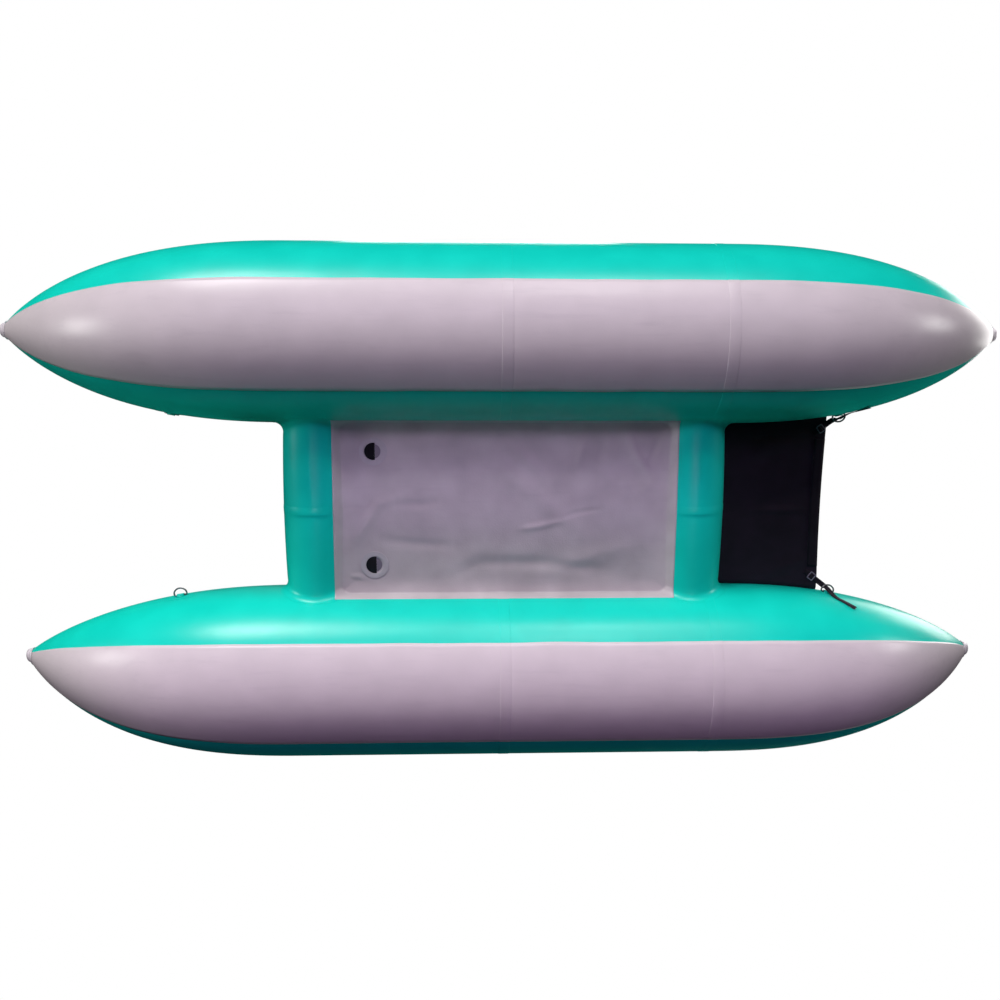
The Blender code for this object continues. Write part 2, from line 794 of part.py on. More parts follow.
def add_ring(name, side, direction, fold, finish):
    """A D-ring turned about its bar, fold degrees up from standing straight off its patch."""
    path = wire_curve(ring_outline(), RING_WIRE_RADIUS, closed=True)
    frame = ring_frame(side, direction)
    upward = math.copysign(1.0, (frame.to_3x3() @ Vector((0, 1, 0))).z)
    turn = Matrix.Rotation(math.radians(-fold * upward), 4, "X")
    place(name, path, finish, frame @ turn)


def rounded_plate(length, width, low, high):
    """A flat plate with its four corners cut."""
    bm = bmesh.new()
    corner = width / 4
    half, side = length / 2, width / 2
    outline = []
    for along, across in ((1, 1), (-1, 1), (-1, -1), (1, -1)):
        long_cut = (along * (half - corner), across * side)
        side_cut = (along * half, across * (side - corner))
        outline += [side_cut, long_cut] if along * across > 0 else [long_cut, side_cut]
    face = bm.faces.new([bm.verts.new((x, y, low)) for x, y in outline])
    made = bmesh.ops.extrude_face_region(bm, geom=[face])
    top = [item for item in made["geom"] if isinstance(item, bmesh.types.BMVert)]
    bmesh.ops.translate(bm, vec=(0, 0, high - low), verts=top)
    return finished_mesh(bm, "plate")


def along_x():
    return Matrix.Rotation(math.radians(90), 4, "Y")


def along_y():
    return Matrix.Rotation(math.radians(-90), 4, "X")


def add_patch(name, side, direction, finish):
    """A glued patch with the keeper that the D-ring's bar turns in."""
    frame = pontoon_frame(side, direction * RING_X, -90.0)
    top = SEAT_GAP + PATCH_THICKNESS
    piece = place(name, rounded_plate(PATCH_LENGTH, PATCH_WIDTH, SEAT_GAP, top), finish, frame)
    bore = RING_WIRE_RADIUS + RUNNING_GAP
    low = (-KEEPER_LENGTH / 2, -KEEPER_WIDTH / 2, SEAT_GAP + PATCH_THICKNESS / 2)
    high = (KEEPER_LENGTH / 2, KEEPER_WIDTH / 2, RING_BAR_HEIGHT + bore + KEEPER_WALL)
    combine(piece, guide(box_mesh(low, high), frame), "UNION")
    rod = rod_mesh(bore, -KEEPER_LENGTH, KEEPER_LENGTH, 12)
    combine(piece, guide(rod, frame @ Matrix.Translation((0, 0, RING_BAR_HEIGHT)) @ along_x()), "DIFFERENCE")


def handle_arch(reach):
    """Half-lengths and heights of the grip's bends, reach metres outside its inner face."""
    foot = HANDLE_LENGTH / 2 - HANDLE_FOOT_INSET
    crown = HANDLE_BASE + SEAT_GAP + HANDLE_CLEARANCE
    return [
        (foot + reach, SEAT_GAP + HANDLE_BASE / 2),
        (foot - HANDLE_SHOULDER / 3 + reach, crown - HANDLE_SHOULDER / 2 + reach / 3),
        (foot - HANDLE_SHOULDER + reach / 3, crown + reach)]


def add_handle(name, side, direction, finish):
    frame = pontoon_frame(side, direction * taper_x(HANDLE_SHARE), 180.0)
    plate = rounded_plate(HANDLE_LENGTH, HANDLE_BASE_WIDTH, SEAT_GAP, SEAT_GAP + HANDLE_BASE)
    piece = place(name, plate, finish, frame)
    grids = []
    for reach in (0.0, HANDLE_GRIP):
        half = handle_arch(reach)
        outline = [(-x, z) for x, z in half] + [(x, z) for x, z in reversed(half)]
        grids.append([[(x, y * HANDLE_GRIP_WIDTH / 2, z) for y in (-1, 1)] for x, z in outline])
    combine(piece, guide(sheet_mesh(*grids), frame), "UNION")


def strap_line(side):
    """Start of a strap under the cargo panel, and the D-ring's eye it leads to."""
    start = Vector((CARGO_AFT_X + STRAP_START_AHEAD, side * STRAP_START_Y, STRAP_UNDER))
    return start, ring_frame(side, -1) @ Vector((EYE_FORWARD, 0, EYE_REACH))


def strap_heading(side):
    start, eye = strap_line(side)
    run = eye - start
    run.z = 0
    return run, run.normalized()


def lock_centre(side):
    start = strap_line(side)[0]
    return start + strap_heading(side)[0] * LOCK_SHARE


def strap_stops(side):
    """Centre, width direction and face direction of the strap at each stop."""
    up = Vector((0, 0, 1))
    start, eye = strap_line(side)
    run, heading = strap_heading(side)
    width = heading.cross(up)
    stops = [(start, width, up)]
    slot_end = LOCK_BAR / 2 + LOCK_SLOT
    for step, height in (
            (-slot_end, STRAP_UNDER), (-LOCK_BAR / 2, STRAP_BELOW_BAR),
            (LOCK_BAR / 2, STRAP_BELOW_BAR), (slot_end, STRAP_UNDER)):
        middle = lock_centre(side) + heading * step
        stops.append((Vector((middle.x, middle.y, height)), width, up))
    stops.append((start + run * STRAP_FLAT_SHARE, width, up))
    along, upright, inboard = (Vector(axis[:3]) for axis in ring_frame(side, -1).transposed()[:3])
    upright *= math.copysign(1.0, upright.z)
    for turn, lift in zip(STRAP_TURNS, (STRAP_LIFT, -STRAP_LIFT)):
        twist = math.radians(turn)
        across = along * math.cos(twist) - inboard * math.sin(twist)
        stops.append((eye + upright * lift, across, upright.cross(across) * side))
    for behind, angle in TAIL_STEPS:
        place_x = eye.x - behind
        skin = pontoon_frame(side, place_x, -angle)
        outward = skin.to_3x3() @ Vector((0, 0, 1))
        centre = pontoon_point(side, place_x, -angle, TAIL_STAND_OFF)
        course = (centre - stops[-1][0]).normalized()
        stops.append((centre, outward.cross(course).normalized(), -outward))
    return stops


def add_strap(name, side, finish):
    stops = strap_stops(side)
    grids = []
    for level in (-0.5, 0.5):
        rows = []
        previous = stops[0][1]
        for centre, width, face in stops:
            if width.dot(previous) < 0:
                width = -width
            previous = width
            middle = centre + face * level * STRAP_THICKNESS
            rows.append([middle - width * STRAP_WIDTH / 2, middle + width * STRAP_WIDTH / 2])
        grids.append(rows)
    place(name, sheet_mesh(*grids), finish)


def add_ladder_lock(name, side, finish):
    """A two-slot webbing buckle: the strap dips through it, under its middle bar."""
    centre = lock_centre(side)
    origin = Vector((centre.x, centre.y, LOCK_TOP))
    frame = frame_matrix(origin, strap_heading(side)[1], Vector((0, 0, 1)))
    slot_half = STRAP_WIDTH / 2 + RUNNING_GAP
    length = LOCK_BAR + 2 * (LOCK_SLOT + LOCK_RIM)
    width = 2 * (slot_half + LOCK_RIM)
    piece = place(name, rounded_plate(length, width, -LOCK_THICKNESS, 0.0), finish, frame)
    for direction in (-1, 1):
        middle = direction * (LOCK_BAR + LOCK_SLOT) / 2
        low = (middle - LOCK_SLOT / 2, -slot_half, -2 * LOCK_THICKNESS)
        high = (middle + LOCK_SLOT / 2, slot_half, LOCK_THICKNESS)
        combine(piece, guide(box_mesh(low, high), frame), "DIFFERENCE")


# Valves


def pontoon_valve_frame(side):
    return pontoon_frame(side, VALVE_X, 180.0)


def valve_hole_mesh():
    depth = 10 * FABRIC
    return rod_mesh(VALVE_BORE + VALVE_WALL + SEAT_GAP, -depth, depth, VALVE_SIDES)


def add_valve_body(name, frame, tube_tool, finish):
    """Flange and neck outside the tube, sleeve and seat inside it."""
    sleeve = VALVE_BORE + VALVE_WALL
    top = SEAT_GAP + VALVE_FLANGE
    flange = rod_mesh(VALVE_FLANGE_RADIUS, -VALVE_FLANGE, top, VALVE_SIDES)
    piece = place(name, flange, finish, frame)
    combine(piece, tube_tool, "DIFFERENCE", keep_tool=True)
    core = rod_mesh(sleeve, -VALVE_DEPTH, VALVE_NECK, VALVE_SIDES)
    combine(piece, guide(core, frame), "UNION")
    ear_half_width = HINGE_KNUCKLE_HALF + RUNNING_GAP + HINGE_EAR
    low = (-HINGE_OFFSET - HINGE_EAR_HALF, -ear_half_width, top / 2)
    high = (-HINGE_OFFSET + HINGE_EAR_HALF, ear_half_width, HINGE_HEIGHT)
    combine(piece, guide(box_mesh(low, high), frame), "UNION")
    ear = rod_mesh(HINGE_EAR_HALF, -ear_half_width, ear_half_width, 12)
    combine(piece, guide(ear, hinge_frame(frame) @ along_y()), "UNION")
    slot_half = HINGE_KNUCKLE_HALF + RUNNING_GAP
    low = (-HINGE_OFFSET - 2 * HINGE_EAR_HALF, -slot_half, top)
    high = (-sleeve - SEAT_GAP, slot_half, 2 * HINGE_HEIGHT)
    combine(piece, guide(box_mesh(low, high), frame), "DIFFERENCE")
    pin = rod_mesh(HINGE_PIN_RADIUS + SEAT_GAP, -ear_half_width * 2, ear_half_width * 2, 8)
    combine(piece, guide(pin, hinge_frame(frame) @ along_y()), "DIFFERENCE")
    mouth = rod_mesh(VALVE_BORE, VALVE_WEB_TOP, 2 * VALVE_NECK, VALVE_SIDES)
    chamber = rod_mesh(VALVE_BORE, VALVE_SEAT - VALVE_DEPTH, VALVE_WEB_TOP - VALVE_WEB, VALVE_SIDES)
    throat = rod_mesh(VALVE_SEAT_RADIUS, -2 * VALVE_DEPTH, VALVE_SEAT - VALVE_DEPTH + FABRIC, VALVE_SIDES)
    hub = rod_mesh(STEM_RADIUS + RUNNING_GAP, -VALVE_DEPTH, VALVE_NECK, 10)
    for data in (mouth, chamber, throat, hub):
        combine(piece, guide(data, frame), "DIFFERENCE")
    for index in range(AIR_HOLES):
        turn = Matrix.Rotation(math.tau * index / AIR_HOLES, 4, "Z")
        air = rod_mesh(AIR_HOLE_RADIUS, -VALVE_DEPTH + VALVE_SEAT, VALVE_NECK, 8)
        spot = frame @ turn @ Matrix.Translation((AIR_HOLE_CIRCLE, 0, 0))
        combine(piece, guide(air, spot), "DIFFERENCE")
    smooth(piece)


def add_valve_nut(name, frame, inside_tool, finish):
    """The ring inside the tube that clamps the fabric against the flange."""
    bore = VALVE_BORE + VALVE_WALL + SEAT_GAP
    profile = [(bore, -NUT_HEIGHT), (NUT_RADIUS, -NUT_HEIGHT), (NUT_RADIUS, 0), (bore, 0)]
    piece = place(name, turned_mesh(profile, VALVE_SIDES), finish, frame)
    combine(piece, inside_tool, "INTERSECT", keep_tool=True)
    smooth(piece)


def add_valve_stem(name, frame, finish):
    """Poppet under the seat, a thin stem and the head that is pressed."""
    seat = -VALVE_DEPTH - SEAT_GAP
    head = STEM_HEAD_UNDER
    profile = [
        (0, seat - POPPET), (POPPET_RADIUS, seat - POPPET), (POPPET_RADIUS, seat),
        (STEM_RADIUS, seat), (STEM_RADIUS, head), (STEM_HEAD_RADIUS, head),
        (STEM_HEAD_RADIUS, head + STEM_HEAD), (0, head + STEM_HEAD)]
    smooth(place(name, turned_mesh(profile, 12), finish, frame))


def add_valve_spring(name, frame, finish):
    wire = SPRING_WIRE / 2
    low = VALVE_WEB_TOP + SEAT_GAP + wire
    high = STEM_HEAD_UNDER - SEAT_GAP - wire
    steps = SPRING_TURNS * SPRING_POINTS
    points = []
    for index in range(steps + 1):
        turn = math.tau * index / SPRING_POINTS
        height = low + (high - low) * index / steps
        points.append((SPRING_RADIUS * math.cos(turn), SPRING_RADIUS * math.sin(turn), height))
    path = wire_curve(points, wire, closed=False)
    place(name, path, finish, frame)
    apart = SPRING_POINTS // 2
    least = min(
        math.dist(point, other)
        for index, point in enumerate(points) for other in points[index + apart:])
    print(f"{name}: least gap between curls {(least - SPRING_WIRE) * 1000:.2f} mm")


def hinge_frame(frame):
    return frame @ Matrix.Translation((-HINGE_OFFSET, 0, HINGE_HEIGHT))


def add_valve_lid(name, frame, finish):
    """A flat lid on the neck, turning on a pin between the body's two ears."""
    hinge = hinge_frame(frame)
    radius = VALVE_BORE + VALVE_WALL + LID_OVERHANG
    half = LID_THICKNESS / 2
    barrel = HINGE_KNUCKLE_HALF
    tip = barrel + RUNNING_GAP + HINGE_EAR * 0.8
    profile = [
        (0, -tip), (HINGE_PIN_RADIUS, -tip), (HINGE_PIN_RADIUS, -barrel),
        (HINGE_KNUCKLE_RADIUS, -barrel), (HINGE_KNUCKLE_RADIUS, barrel),
        (HINGE_PIN_RADIUS, barrel), (HINGE_PIN_RADIUS, tip), (0, tip)]
    data = turned_mesh(profile, 10)
    data.transform(along_y())
    piece = place(name, data, finish, hinge)
    disc = rod_mesh(radius, -half, half, VALVE_SIDES)
    arm = box_mesh((0, -barrel * 0.9, -half * 0.8), (HINGE_OFFSET, barrel * 0.9, half * 0.8))
    tab_start = HINGE_OFFSET + radius * 0.9
    tab_end = HINGE_OFFSET + radius + LID_TAB
    tab = box_mesh((tab_start, -LID_TAB_HALF_WIDTH, -half * 0.9), (tab_end, LID_TAB_HALF_WIDTH, half * 0.9))
    centred = hinge @ Matrix.Translation((HINGE_OFFSET, 0, 0))
    for tool in (guide(disc, centred), guide(arm, hinge), guide(tab, hinge)):
        combine(piece, tool, "UNION")
    smooth(piece)


def add_valve(place_name, frame, outer_tool, inner_tool, finishes):
    add_valve_body(f"valve_body_{place_name}", frame, outer_tool, finishes["plastic"])
    add_valve_nut(f"valve_nut_{place_name}", frame, inner_tool, finishes["plastic"])
    add_valve_stem(f"valve_stem_{place_name}", frame, finishes["stem"])
    add_valve_spring(f"valve_spring_{place_name}", frame, finishes["steel"])
    add_valve_lid(f"valve_lid_{place_name}", frame, finishes["plastic"])


# The whole craft


def build():
    clear_scene()
    finishes = {
        "teal": make_material("teal_coated_fabric", "00C4B0", 0.3),
        "grey": make_material("grey_coated_fabric", "B7ABB2", 0.32),
        "floor": make_material("grey_floor_fabric", "948896", 0.45),
        "cap": make_material("light_grey_moulding", "C9C6C8", 0.4),
        "cargo": make_material("black_polyester", "100C12", 0.75),
        "webbing": make_material("black_webbing", "0B090D", 0.8),
        "plastic": make_material("grey_acetal", "4A464C", 0.45),
        "stem": make_material("white_acetal", "D8D6D2", 0.4),
        "steel": make_material("stainless_steel", "9C9AA0", 0.3, 1.0),
        "rubber": make_material("black_rubber", "17151A", 0.6)}
    cutters = {name: pontoon_solid(side, SEAT_GAP) for name, side in SIDES.items()}
    for name, side in SIDES.items():
        add_pontoon(f"pontoon_{name}", side, finishes["teal"])
        add_strip(f"wear_strip_{name}", side, finishes["grey"])
        add_grommet(f"drain_grommet_{name}", side, finishes["cap"])
        add_flap(f"drain_flap_{name}", side, finishes["rubber"])
        add_strap(f"cargo_strap_{name}", side, finishes["webbing"])
        add_ladder_lock(f"ladder_lock_{name}", side, finishes["plastic"])
        for end, direction in ENDS.items():
            add_tip_cap(f"tip_cap_{end}_{name}", side, direction, finishes["cap"])
            add_patch(f"ring_patch_{end}_{name}", side, direction, finishes["teal"])
            fold = PORT_BOW_RING_FOLD if (name, end) == ("port", "bow") else 0.0
            add_ring(f"d_ring_{end}_{name}", side, direction, fold, finishes["steel"])
            add_handle(f"carry_handle_{end}_{name}", side, direction, finishes["rubber"])
    tubes = {"bow": BOW_TUBE_X, "stern": STERN_TUBE_X}
    for name, tube_x in tubes.items():
        add_cross_tube(f"cross_tube_{name}", tube_x, cutters.values(), finishes["teal"])
    add_floor("floor_panel", finishes["floor"])
    add_cargo_panel("cargo_panel", finishes["cargo"])
    add_hem("cargo_hem", finishes["webbing"])
    inside = -FABRIC - SEAT_GAP
    for name, side in SIDES.items():
        inner = pontoon_solid(side, inside)
        add_valve(name, pontoon_valve_frame(side), cutters[name], inner, finishes)
        bpy.data.objects.remove(inner, do_unlink=True)
    for name, tube_x in tubes.items():
        outer, inner = cross_solid(tube_x, SEAT_GAP), cross_solid(tube_x, inside)
        add_valve(f"{name}_tube", cross_frame(tube_x, CROSS_VALVE_Y), outer, inner, finishes)
        for tool in (outer, inner):
            bpy.data.objects.remove(tool, do_unlink=True)
    for tool in cutters.values():
        bpy.data.objects.remove(tool, do_unlink=True)


build()
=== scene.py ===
# %% [markdown]
# # An inflatable cataraft, seen from beneath
#
# A cataraft is two inflated pontoons held apart by two inflated cross tubes. A grey
# fabric floor hangs between the tubes, and a black panel behind the stern tube carries
# the luggage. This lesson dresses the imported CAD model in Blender: the CAD pieces give
# every place and size, and new smooth pieces and procedural materials give the looks.

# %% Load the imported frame
import json
import math

import bmesh
import bpy
import numpy as np
from mathutils import Euler, Matrix, Vector, noise
from mathutils.bvhtree import BVHTree

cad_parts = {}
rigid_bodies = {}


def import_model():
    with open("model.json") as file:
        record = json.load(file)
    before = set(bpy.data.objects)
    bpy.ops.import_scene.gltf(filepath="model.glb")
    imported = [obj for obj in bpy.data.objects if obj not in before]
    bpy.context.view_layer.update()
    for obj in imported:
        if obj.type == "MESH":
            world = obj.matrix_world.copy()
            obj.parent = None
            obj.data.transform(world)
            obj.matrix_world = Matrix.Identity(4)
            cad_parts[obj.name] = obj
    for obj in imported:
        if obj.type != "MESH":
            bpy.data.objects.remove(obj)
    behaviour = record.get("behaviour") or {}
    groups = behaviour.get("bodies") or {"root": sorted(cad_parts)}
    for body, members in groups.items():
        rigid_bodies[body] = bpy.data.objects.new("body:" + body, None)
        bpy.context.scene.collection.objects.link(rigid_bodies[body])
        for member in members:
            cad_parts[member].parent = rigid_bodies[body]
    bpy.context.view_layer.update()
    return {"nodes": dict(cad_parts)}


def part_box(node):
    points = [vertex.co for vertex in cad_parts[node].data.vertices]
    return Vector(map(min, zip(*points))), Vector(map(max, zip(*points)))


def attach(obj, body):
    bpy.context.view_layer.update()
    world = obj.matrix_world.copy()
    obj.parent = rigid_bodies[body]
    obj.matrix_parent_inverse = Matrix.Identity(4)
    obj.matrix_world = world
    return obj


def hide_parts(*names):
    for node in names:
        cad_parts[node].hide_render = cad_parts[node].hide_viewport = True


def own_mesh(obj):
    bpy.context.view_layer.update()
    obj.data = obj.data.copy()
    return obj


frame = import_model()
nodes = frame["nodes"]


def put_in_scene(name, data):
    """Make an object for a mesh, curve, lamp or camera, and link it to the scene."""
    made = bpy.data.objects.new(name, data)
    bpy.context.scene.collection.objects.link(made)
    return made


# %% [markdown]
# ## Sizes of the craft
#
# The numbers below are the CAD model's own: metres, X towards the bow, Y to port and Z
# up. A pontoon is round, straight in the middle, and tapers and turns up to both tips,
# so its radius and the height of its middle are two short formulas of X.

# %% The shape of a pontoon
HALF_LENGTH = 1.368
STRAIGHT_HALF = 0.56
TAPER_LENGTH = HALF_LENGTH - STRAIGHT_HALF
NOSE_POWER, NOSE_BLUNTNESS = 2.4, 0.9
TIP_RISE, RISE_POWER = 0.14, 3.66
PONTOON_RADIUS = 0.2325
CENTRE_Z = 0.234
TRACK = 0.458
TUBE_RADIUS = 0.085
TUBE_PLACES = {"bow": 0.515, "stern": -0.495}
SIDES = {"port": 1, "starboard": -1}
ENDS = {"bow": 1, "stern": -1}
CORNERS = [(name, side, end, way) for name, side in SIDES.items() for end, way in ENDS.items()]


def taper(x):
    """How far a place is along the taper, from 0 at its root to 1 at the tip."""
    return min(max((abs(x) - STRAIGHT_HALF) / TAPER_LENGTH, 0.0), 1.0)


def hull_radius(x):
    return PONTOON_RADIUS * (1 - taper(x) ** NOSE_POWER) ** NOSE_BLUNTNESS


def hull_height(x):
    return CENTRE_Z + TIP_RISE * taper(x) ** RISE_POWER


def hull_point(side, x, angle, lift=0.0):
    """A point on a pontoon's skin; angle is in degrees from its bottom, + to port."""
    turn = math.radians(angle)
    reach = hull_radius(x) + lift
    return Vector((
        x, side * TRACK + reach * math.sin(turn), hull_height(x) - reach * math.cos(turn)))


print("tip at", round(hull_height(HALF_LENGTH), 3), "m, crown at", CENTRE_Z + PONTOON_RADIUS)

# %% [markdown]
# ## The camera
#
# The photograph was taken from under the craft, a little off its middle, with the bow
# to the left. The camera's place and turn were found by fitting the outlines of the
# pontoons. It could be aimed with a Track To constraint, but a matrix of three known
# directions says exactly where it looks.

# %% Place the camera under the craft
camera_data = bpy.data.cameras.new("photo_camera")
camera_data.sensor_width = 36.0
camera_data.lens = 37.086
camera = put_in_scene("photo_camera", camera_data)
looks_to = Vector((-0.03830, -0.18388, 0.98220)).normalized()
picture_up = Vector((-0.00176, 0.98293, 0.18395))
picture_right = looks_to.cross(picture_up).normalized()
picture_up = picture_right.cross(looks_to)
turn = Matrix((picture_right, picture_up, -looks_to)).transposed().to_4x4()
camera.matrix_world = Matrix.Translation((0.1294, 0.5256, -2.492)) @ turn
bpy.context.scene.camera = camera
bpy.context.scene.view_settings.view_transform = "Standard"
print("camera looks along", tuple(round(value, 3) for value in looks_to))

# %% [markdown]
# ## Colours and nodes
#
# Colours are written as the hex codes that a picture editor shows. Shaders work in
# linear light, so one function converts them. A second small function adds a shader
# node and plugs in its inputs, which keeps each material short enough to read. The next
# ones make what most materials here share: a noise, two blended colours, an uneven gloss
# and a fine relief. The last two are for the things that stand round the craft.

# %% Helpers for materials


def colour(code):
    parts = [int(code[place:place + 2], 16) / 255 for place in (0, 2, 4)]
    return (*(((p + 0.055) / 1.055) ** 2.4 if p > 0.04045 else p / 12.92 for p in parts), 1.0)


def add_node(tree, kind, inputs=None, **settings):
    """Add a node; each input is a plain value or the output socket of another node."""
    made = tree.nodes.new(kind)
    for name, value in settings.items():
        setattr(made, name, value)
    for name, value in (inputs or {}).items():
        if isinstance(value, bpy.types.NodeSocket):
            tree.links.new(value, made.inputs[name])
        else:
            made.inputs[name].default_value = value
    return made


def start_material(name, coords="Object", **constants):
    """A Principled material, its tree and coordinates; constants go on its sockets."""
    material = bpy.data.materials.new(name)
    material.use_nodes = True
    shader = material.node_tree.nodes["Principled BSDF"]
    for socket, value in constants.items():
        shader.inputs[socket.replace("_", " ")].default_value = value
    tree = material.node_tree
    return material, tree, shader, add_node(tree, "ShaderNodeTexCoord").outputs[coords]


def add_noise(tree, place, scale, detail=2.0, roughness=0.5):
    return add_node(tree, "ShaderNodeTexNoise", {
        "Vector": place, "Scale": scale, "Detail": detail, "Roughness": roughness}).outputs["Fac"]


def blend_colours(tree, factor, first, second):
    """The first colour where the factor is 0 and the second where it is 1."""
    return add_node(tree, "ShaderNodeMix", {"Factor": factor, "A": first, "B": second},
                    data_type="RGBA").outputs[2]


def drive_gloss(tree, shader, factor, low, high, start=0.0, stop=1.0):
    """Roughness from low to high while the factor goes from start to stop."""
    dull = add_node(tree, "ShaderNodeMapRange", {
        "Value": factor, "From Min": start, "From Max": stop, "To Min": low, "To Max": high})
    tree.links.new(dull.outputs[0], shader.inputs["Roughness"])


def add_relief(tree, shader, height, strength, distance):
    """Bump the surface by a height of 0 to 1 times the distance."""
    bump = add_node(tree, "ShaderNodeBump", {
        "Height": height, "Strength": strength, "Distance": distance})
    tree.links.new(bump.outputs[0], shader.inputs["Normal"])


def bare_material(name):
    """A material with nothing but its output, for the things round the craft."""
    material = bpy.data.materials.new(name)
    material.use_nodes = True
    material.node_tree.nodes.remove(material.node_tree.nodes["Principled BSDF"])
    return material, material.node_tree, material.node_tree.nodes["Material Output"]


def add_stage_object(name, bm, material):
    """Something that stands about the craft, and is no piece of it."""
    data = bpy.data.meshes.new(name)
    bm.to_mesh(data)
    bm.free()
    data.materials.append(material)
    thing = put_in_scene(name, data)
    return thing


# %% [markdown]
# ## Stage, world and lamps
#
# The craft stands on a pale floor, but the photograph looks up from under it. The stage
# floor is therefore seen only from above: from below, and for every ray that isn't a
# camera ray, it is clear, so lamps under it still reach the hull. It fades into the
# white world a few metres out, where the lamps no longer light it. The world is white
# where the camera, a reflection or a clear surface looks at it, and a dim violet for
# the light that it sheds.

# %% Stage floor and world
SHED_LIGHT = 0.035
STAGE_HALF = 14.0
STAGE_DROP = 0.002
FADE_START, FADE_END = 1.9, 4.6

paper, tree, surface = bare_material("pale_stage")
rays = add_node(tree, "ShaderNodeLightPath")
facing = add_node(tree, "ShaderNodeNewGeometry")
front = add_node(tree, "ShaderNodeMath", {0: 1.0, 1: facing.outputs["Backfacing"]},
                 operation="SUBTRACT")
place = add_node(tree, "ShaderNodeTexCoord").outputs["Object"]
reach = add_node(tree, "ShaderNodeVectorMath", {0: place}, operation="LENGTH")
near = add_node(tree, "ShaderNodeMapRange", {
    "Value": reach.outputs["Value"], "From Min": FADE_START, "From Max": FADE_END,
    "To Min": 1.0, "To Max": 0.0}, interpolation_type="SMOOTHSTEP")
seen = rays.outputs["Is Camera Ray"]
for share in (front, near):
    seen = add_node(tree, "ShaderNodeMath", {0: seen, 1: share.outputs[0]},
                    operation="MULTIPLY").outputs[0]
clear = add_node(tree, "ShaderNodeBsdfTransparent")
paint = add_node(tree, "ShaderNodeBsdfDiffuse", {"Color": colour("F4F2F3")})
mixed = add_node(tree, "ShaderNodeMixShader", {0: seen, 1: clear.outputs[0], 2: paint.outputs[0]})
tree.links.new(mixed.outputs[0], surface.inputs["Surface"])
bm = bmesh.new()
bmesh.ops.create_grid(bm, x_segments=1, y_segments=1, size=STAGE_HALF)
bmesh.ops.translate(bm, vec=(0, 0, -STAGE_DROP), verts=bm.verts)
add_stage_object("stage_floor", bm, paper)

world = bpy.data.worlds.new("studio")
bpy.context.scene.world = world
world.use_nodes = True
tree = world.node_tree
rays = add_node(tree, "ShaderNodeLightPath")
direct = rays.outputs["Is Camera Ray"]
for kind in ("Is Glossy Ray", "Is Transmission Ray"):
    direct = add_node(tree, "ShaderNodeMath", {0: direct, 1: rays.outputs[kind]},
                      operation="MAXIMUM").outputs[0]
shade = blend_colours(tree, direct, (0.7 * SHED_LIGHT, 0.68 * SHED_LIGHT, SHED_LIGHT, 1.0),
                      (1.0, 1.0, 1.0, 1.0))
tree.links.new(shade, tree.nodes["Background"].inputs["Color"])
print("world sheds", SHED_LIGHT, "of white")

# %% [markdown]
# ## Lamps
#
# The photograph's light comes low from the port side, which leaves a bright band on
# each tube and its starboard side dark. Two keys far off give that, and small lamps
# near them, called sparks here, add the short highlights. Edge lamps ahead and astern
# shape the tips. Violet strips close below tint the undersides of the pontoons and the
# floor. Soft lamps above light the deck, which the photograph doesn't show. A lamp of P
# watts at d metres gives a surface that faces it P / (9.87 d squared) of full light.
#
# The tubes in the photograph mirror a dark room, which keeps their rims deep in colour,
# so a tent of dark cloth stands round the lamps. Only reflections show it. The starboard
# pontoon is the brighter one although it is farther from the lamps, so a net scrim hangs
# beside the port pontoon, where only shadows show it, and holds back a fifth of the
# light there.

# %% Lamps


def add_lamp(name, place, target, size, share, tint=(1.0, 1.0, 1.0)):
    """A soft rectangular lamp that gives its target a share of full light."""
    place, target = Vector(place), Vector(target)
    data = bpy.data.lights.new(name, "AREA")
    data.shape = "RECTANGLE"
    data.size, data.size_y = size
    data.energy = share * math.pi ** 2 * (place - target).length_squared
    data.color = tint
    lamp = put_in_scene(name, data)
    lamp.rotation_euler = (target - place).to_track_quat("-Z", "Y").to_euler()
    lamp.location = place
    lamp.visible_camera = False
    return lamp


VIOLET = (0.83, 0.65, 1.0)
DEEP_VIOLET = (0.85, 0.52, 1.0)
WARM = (1.0, 0.985, 0.965)
CENTRE = Vector((0, 0, 0.2))
TENT_RADIUS = 11.5

# Each lamp: its name, way and distance from the craft, size, share of full light, tint.
for name, way, reach, size, share, tint in (
        ("key_bow", (0.34, 0.90, -0.28), 9.5, (3.0, 2.2), 0.79, WARM),
        ("key_stern", (-0.15, 0.92, -0.30), 9.5, (1.8, 1.3), 0.19, WARM),
        ("spark_middle", (-0.14, 0.83, -0.54), 9.5, (1.0, 0.5), 0.13, WARM),
        ("spark_bow", (0.31, 0.84, -0.45), 9.5, (1.2, 0.9), 0.05, WARM),
        ("edge_bow", (0.95, 0.18, -0.24), 4.5, (1.0, 1.0), 0.24, WARM),
        ("edge_stern", (-0.90, 0.24, -0.12), 5.2, (0.9, 0.9), 0.16, WARM),
        ("spark_stern", (-0.80, 0.16, 0.57), 5.2, (2.2, 2.2), 0.30, WARM),
        ("top_soft", (0.15, 0.2, 1.0), 3.6, (3.2, 3.2), 0.50, WARM),
        ("top_port", (0.0, 0.36, 0.93), 4.6, (1.8, 1.4), 0.22, WARM),
        ("top_starboard", (-0.45, -0.8, 0.6), 4.6, (1.8, 1.4), 0.34, WARM)):
    lamp = add_lamp(name, CENTRE + reach * Vector(way).normalized(), CENTRE, size, share, tint)
    lamp.visible_glossy = name not in ("top_soft", "top_starboard")

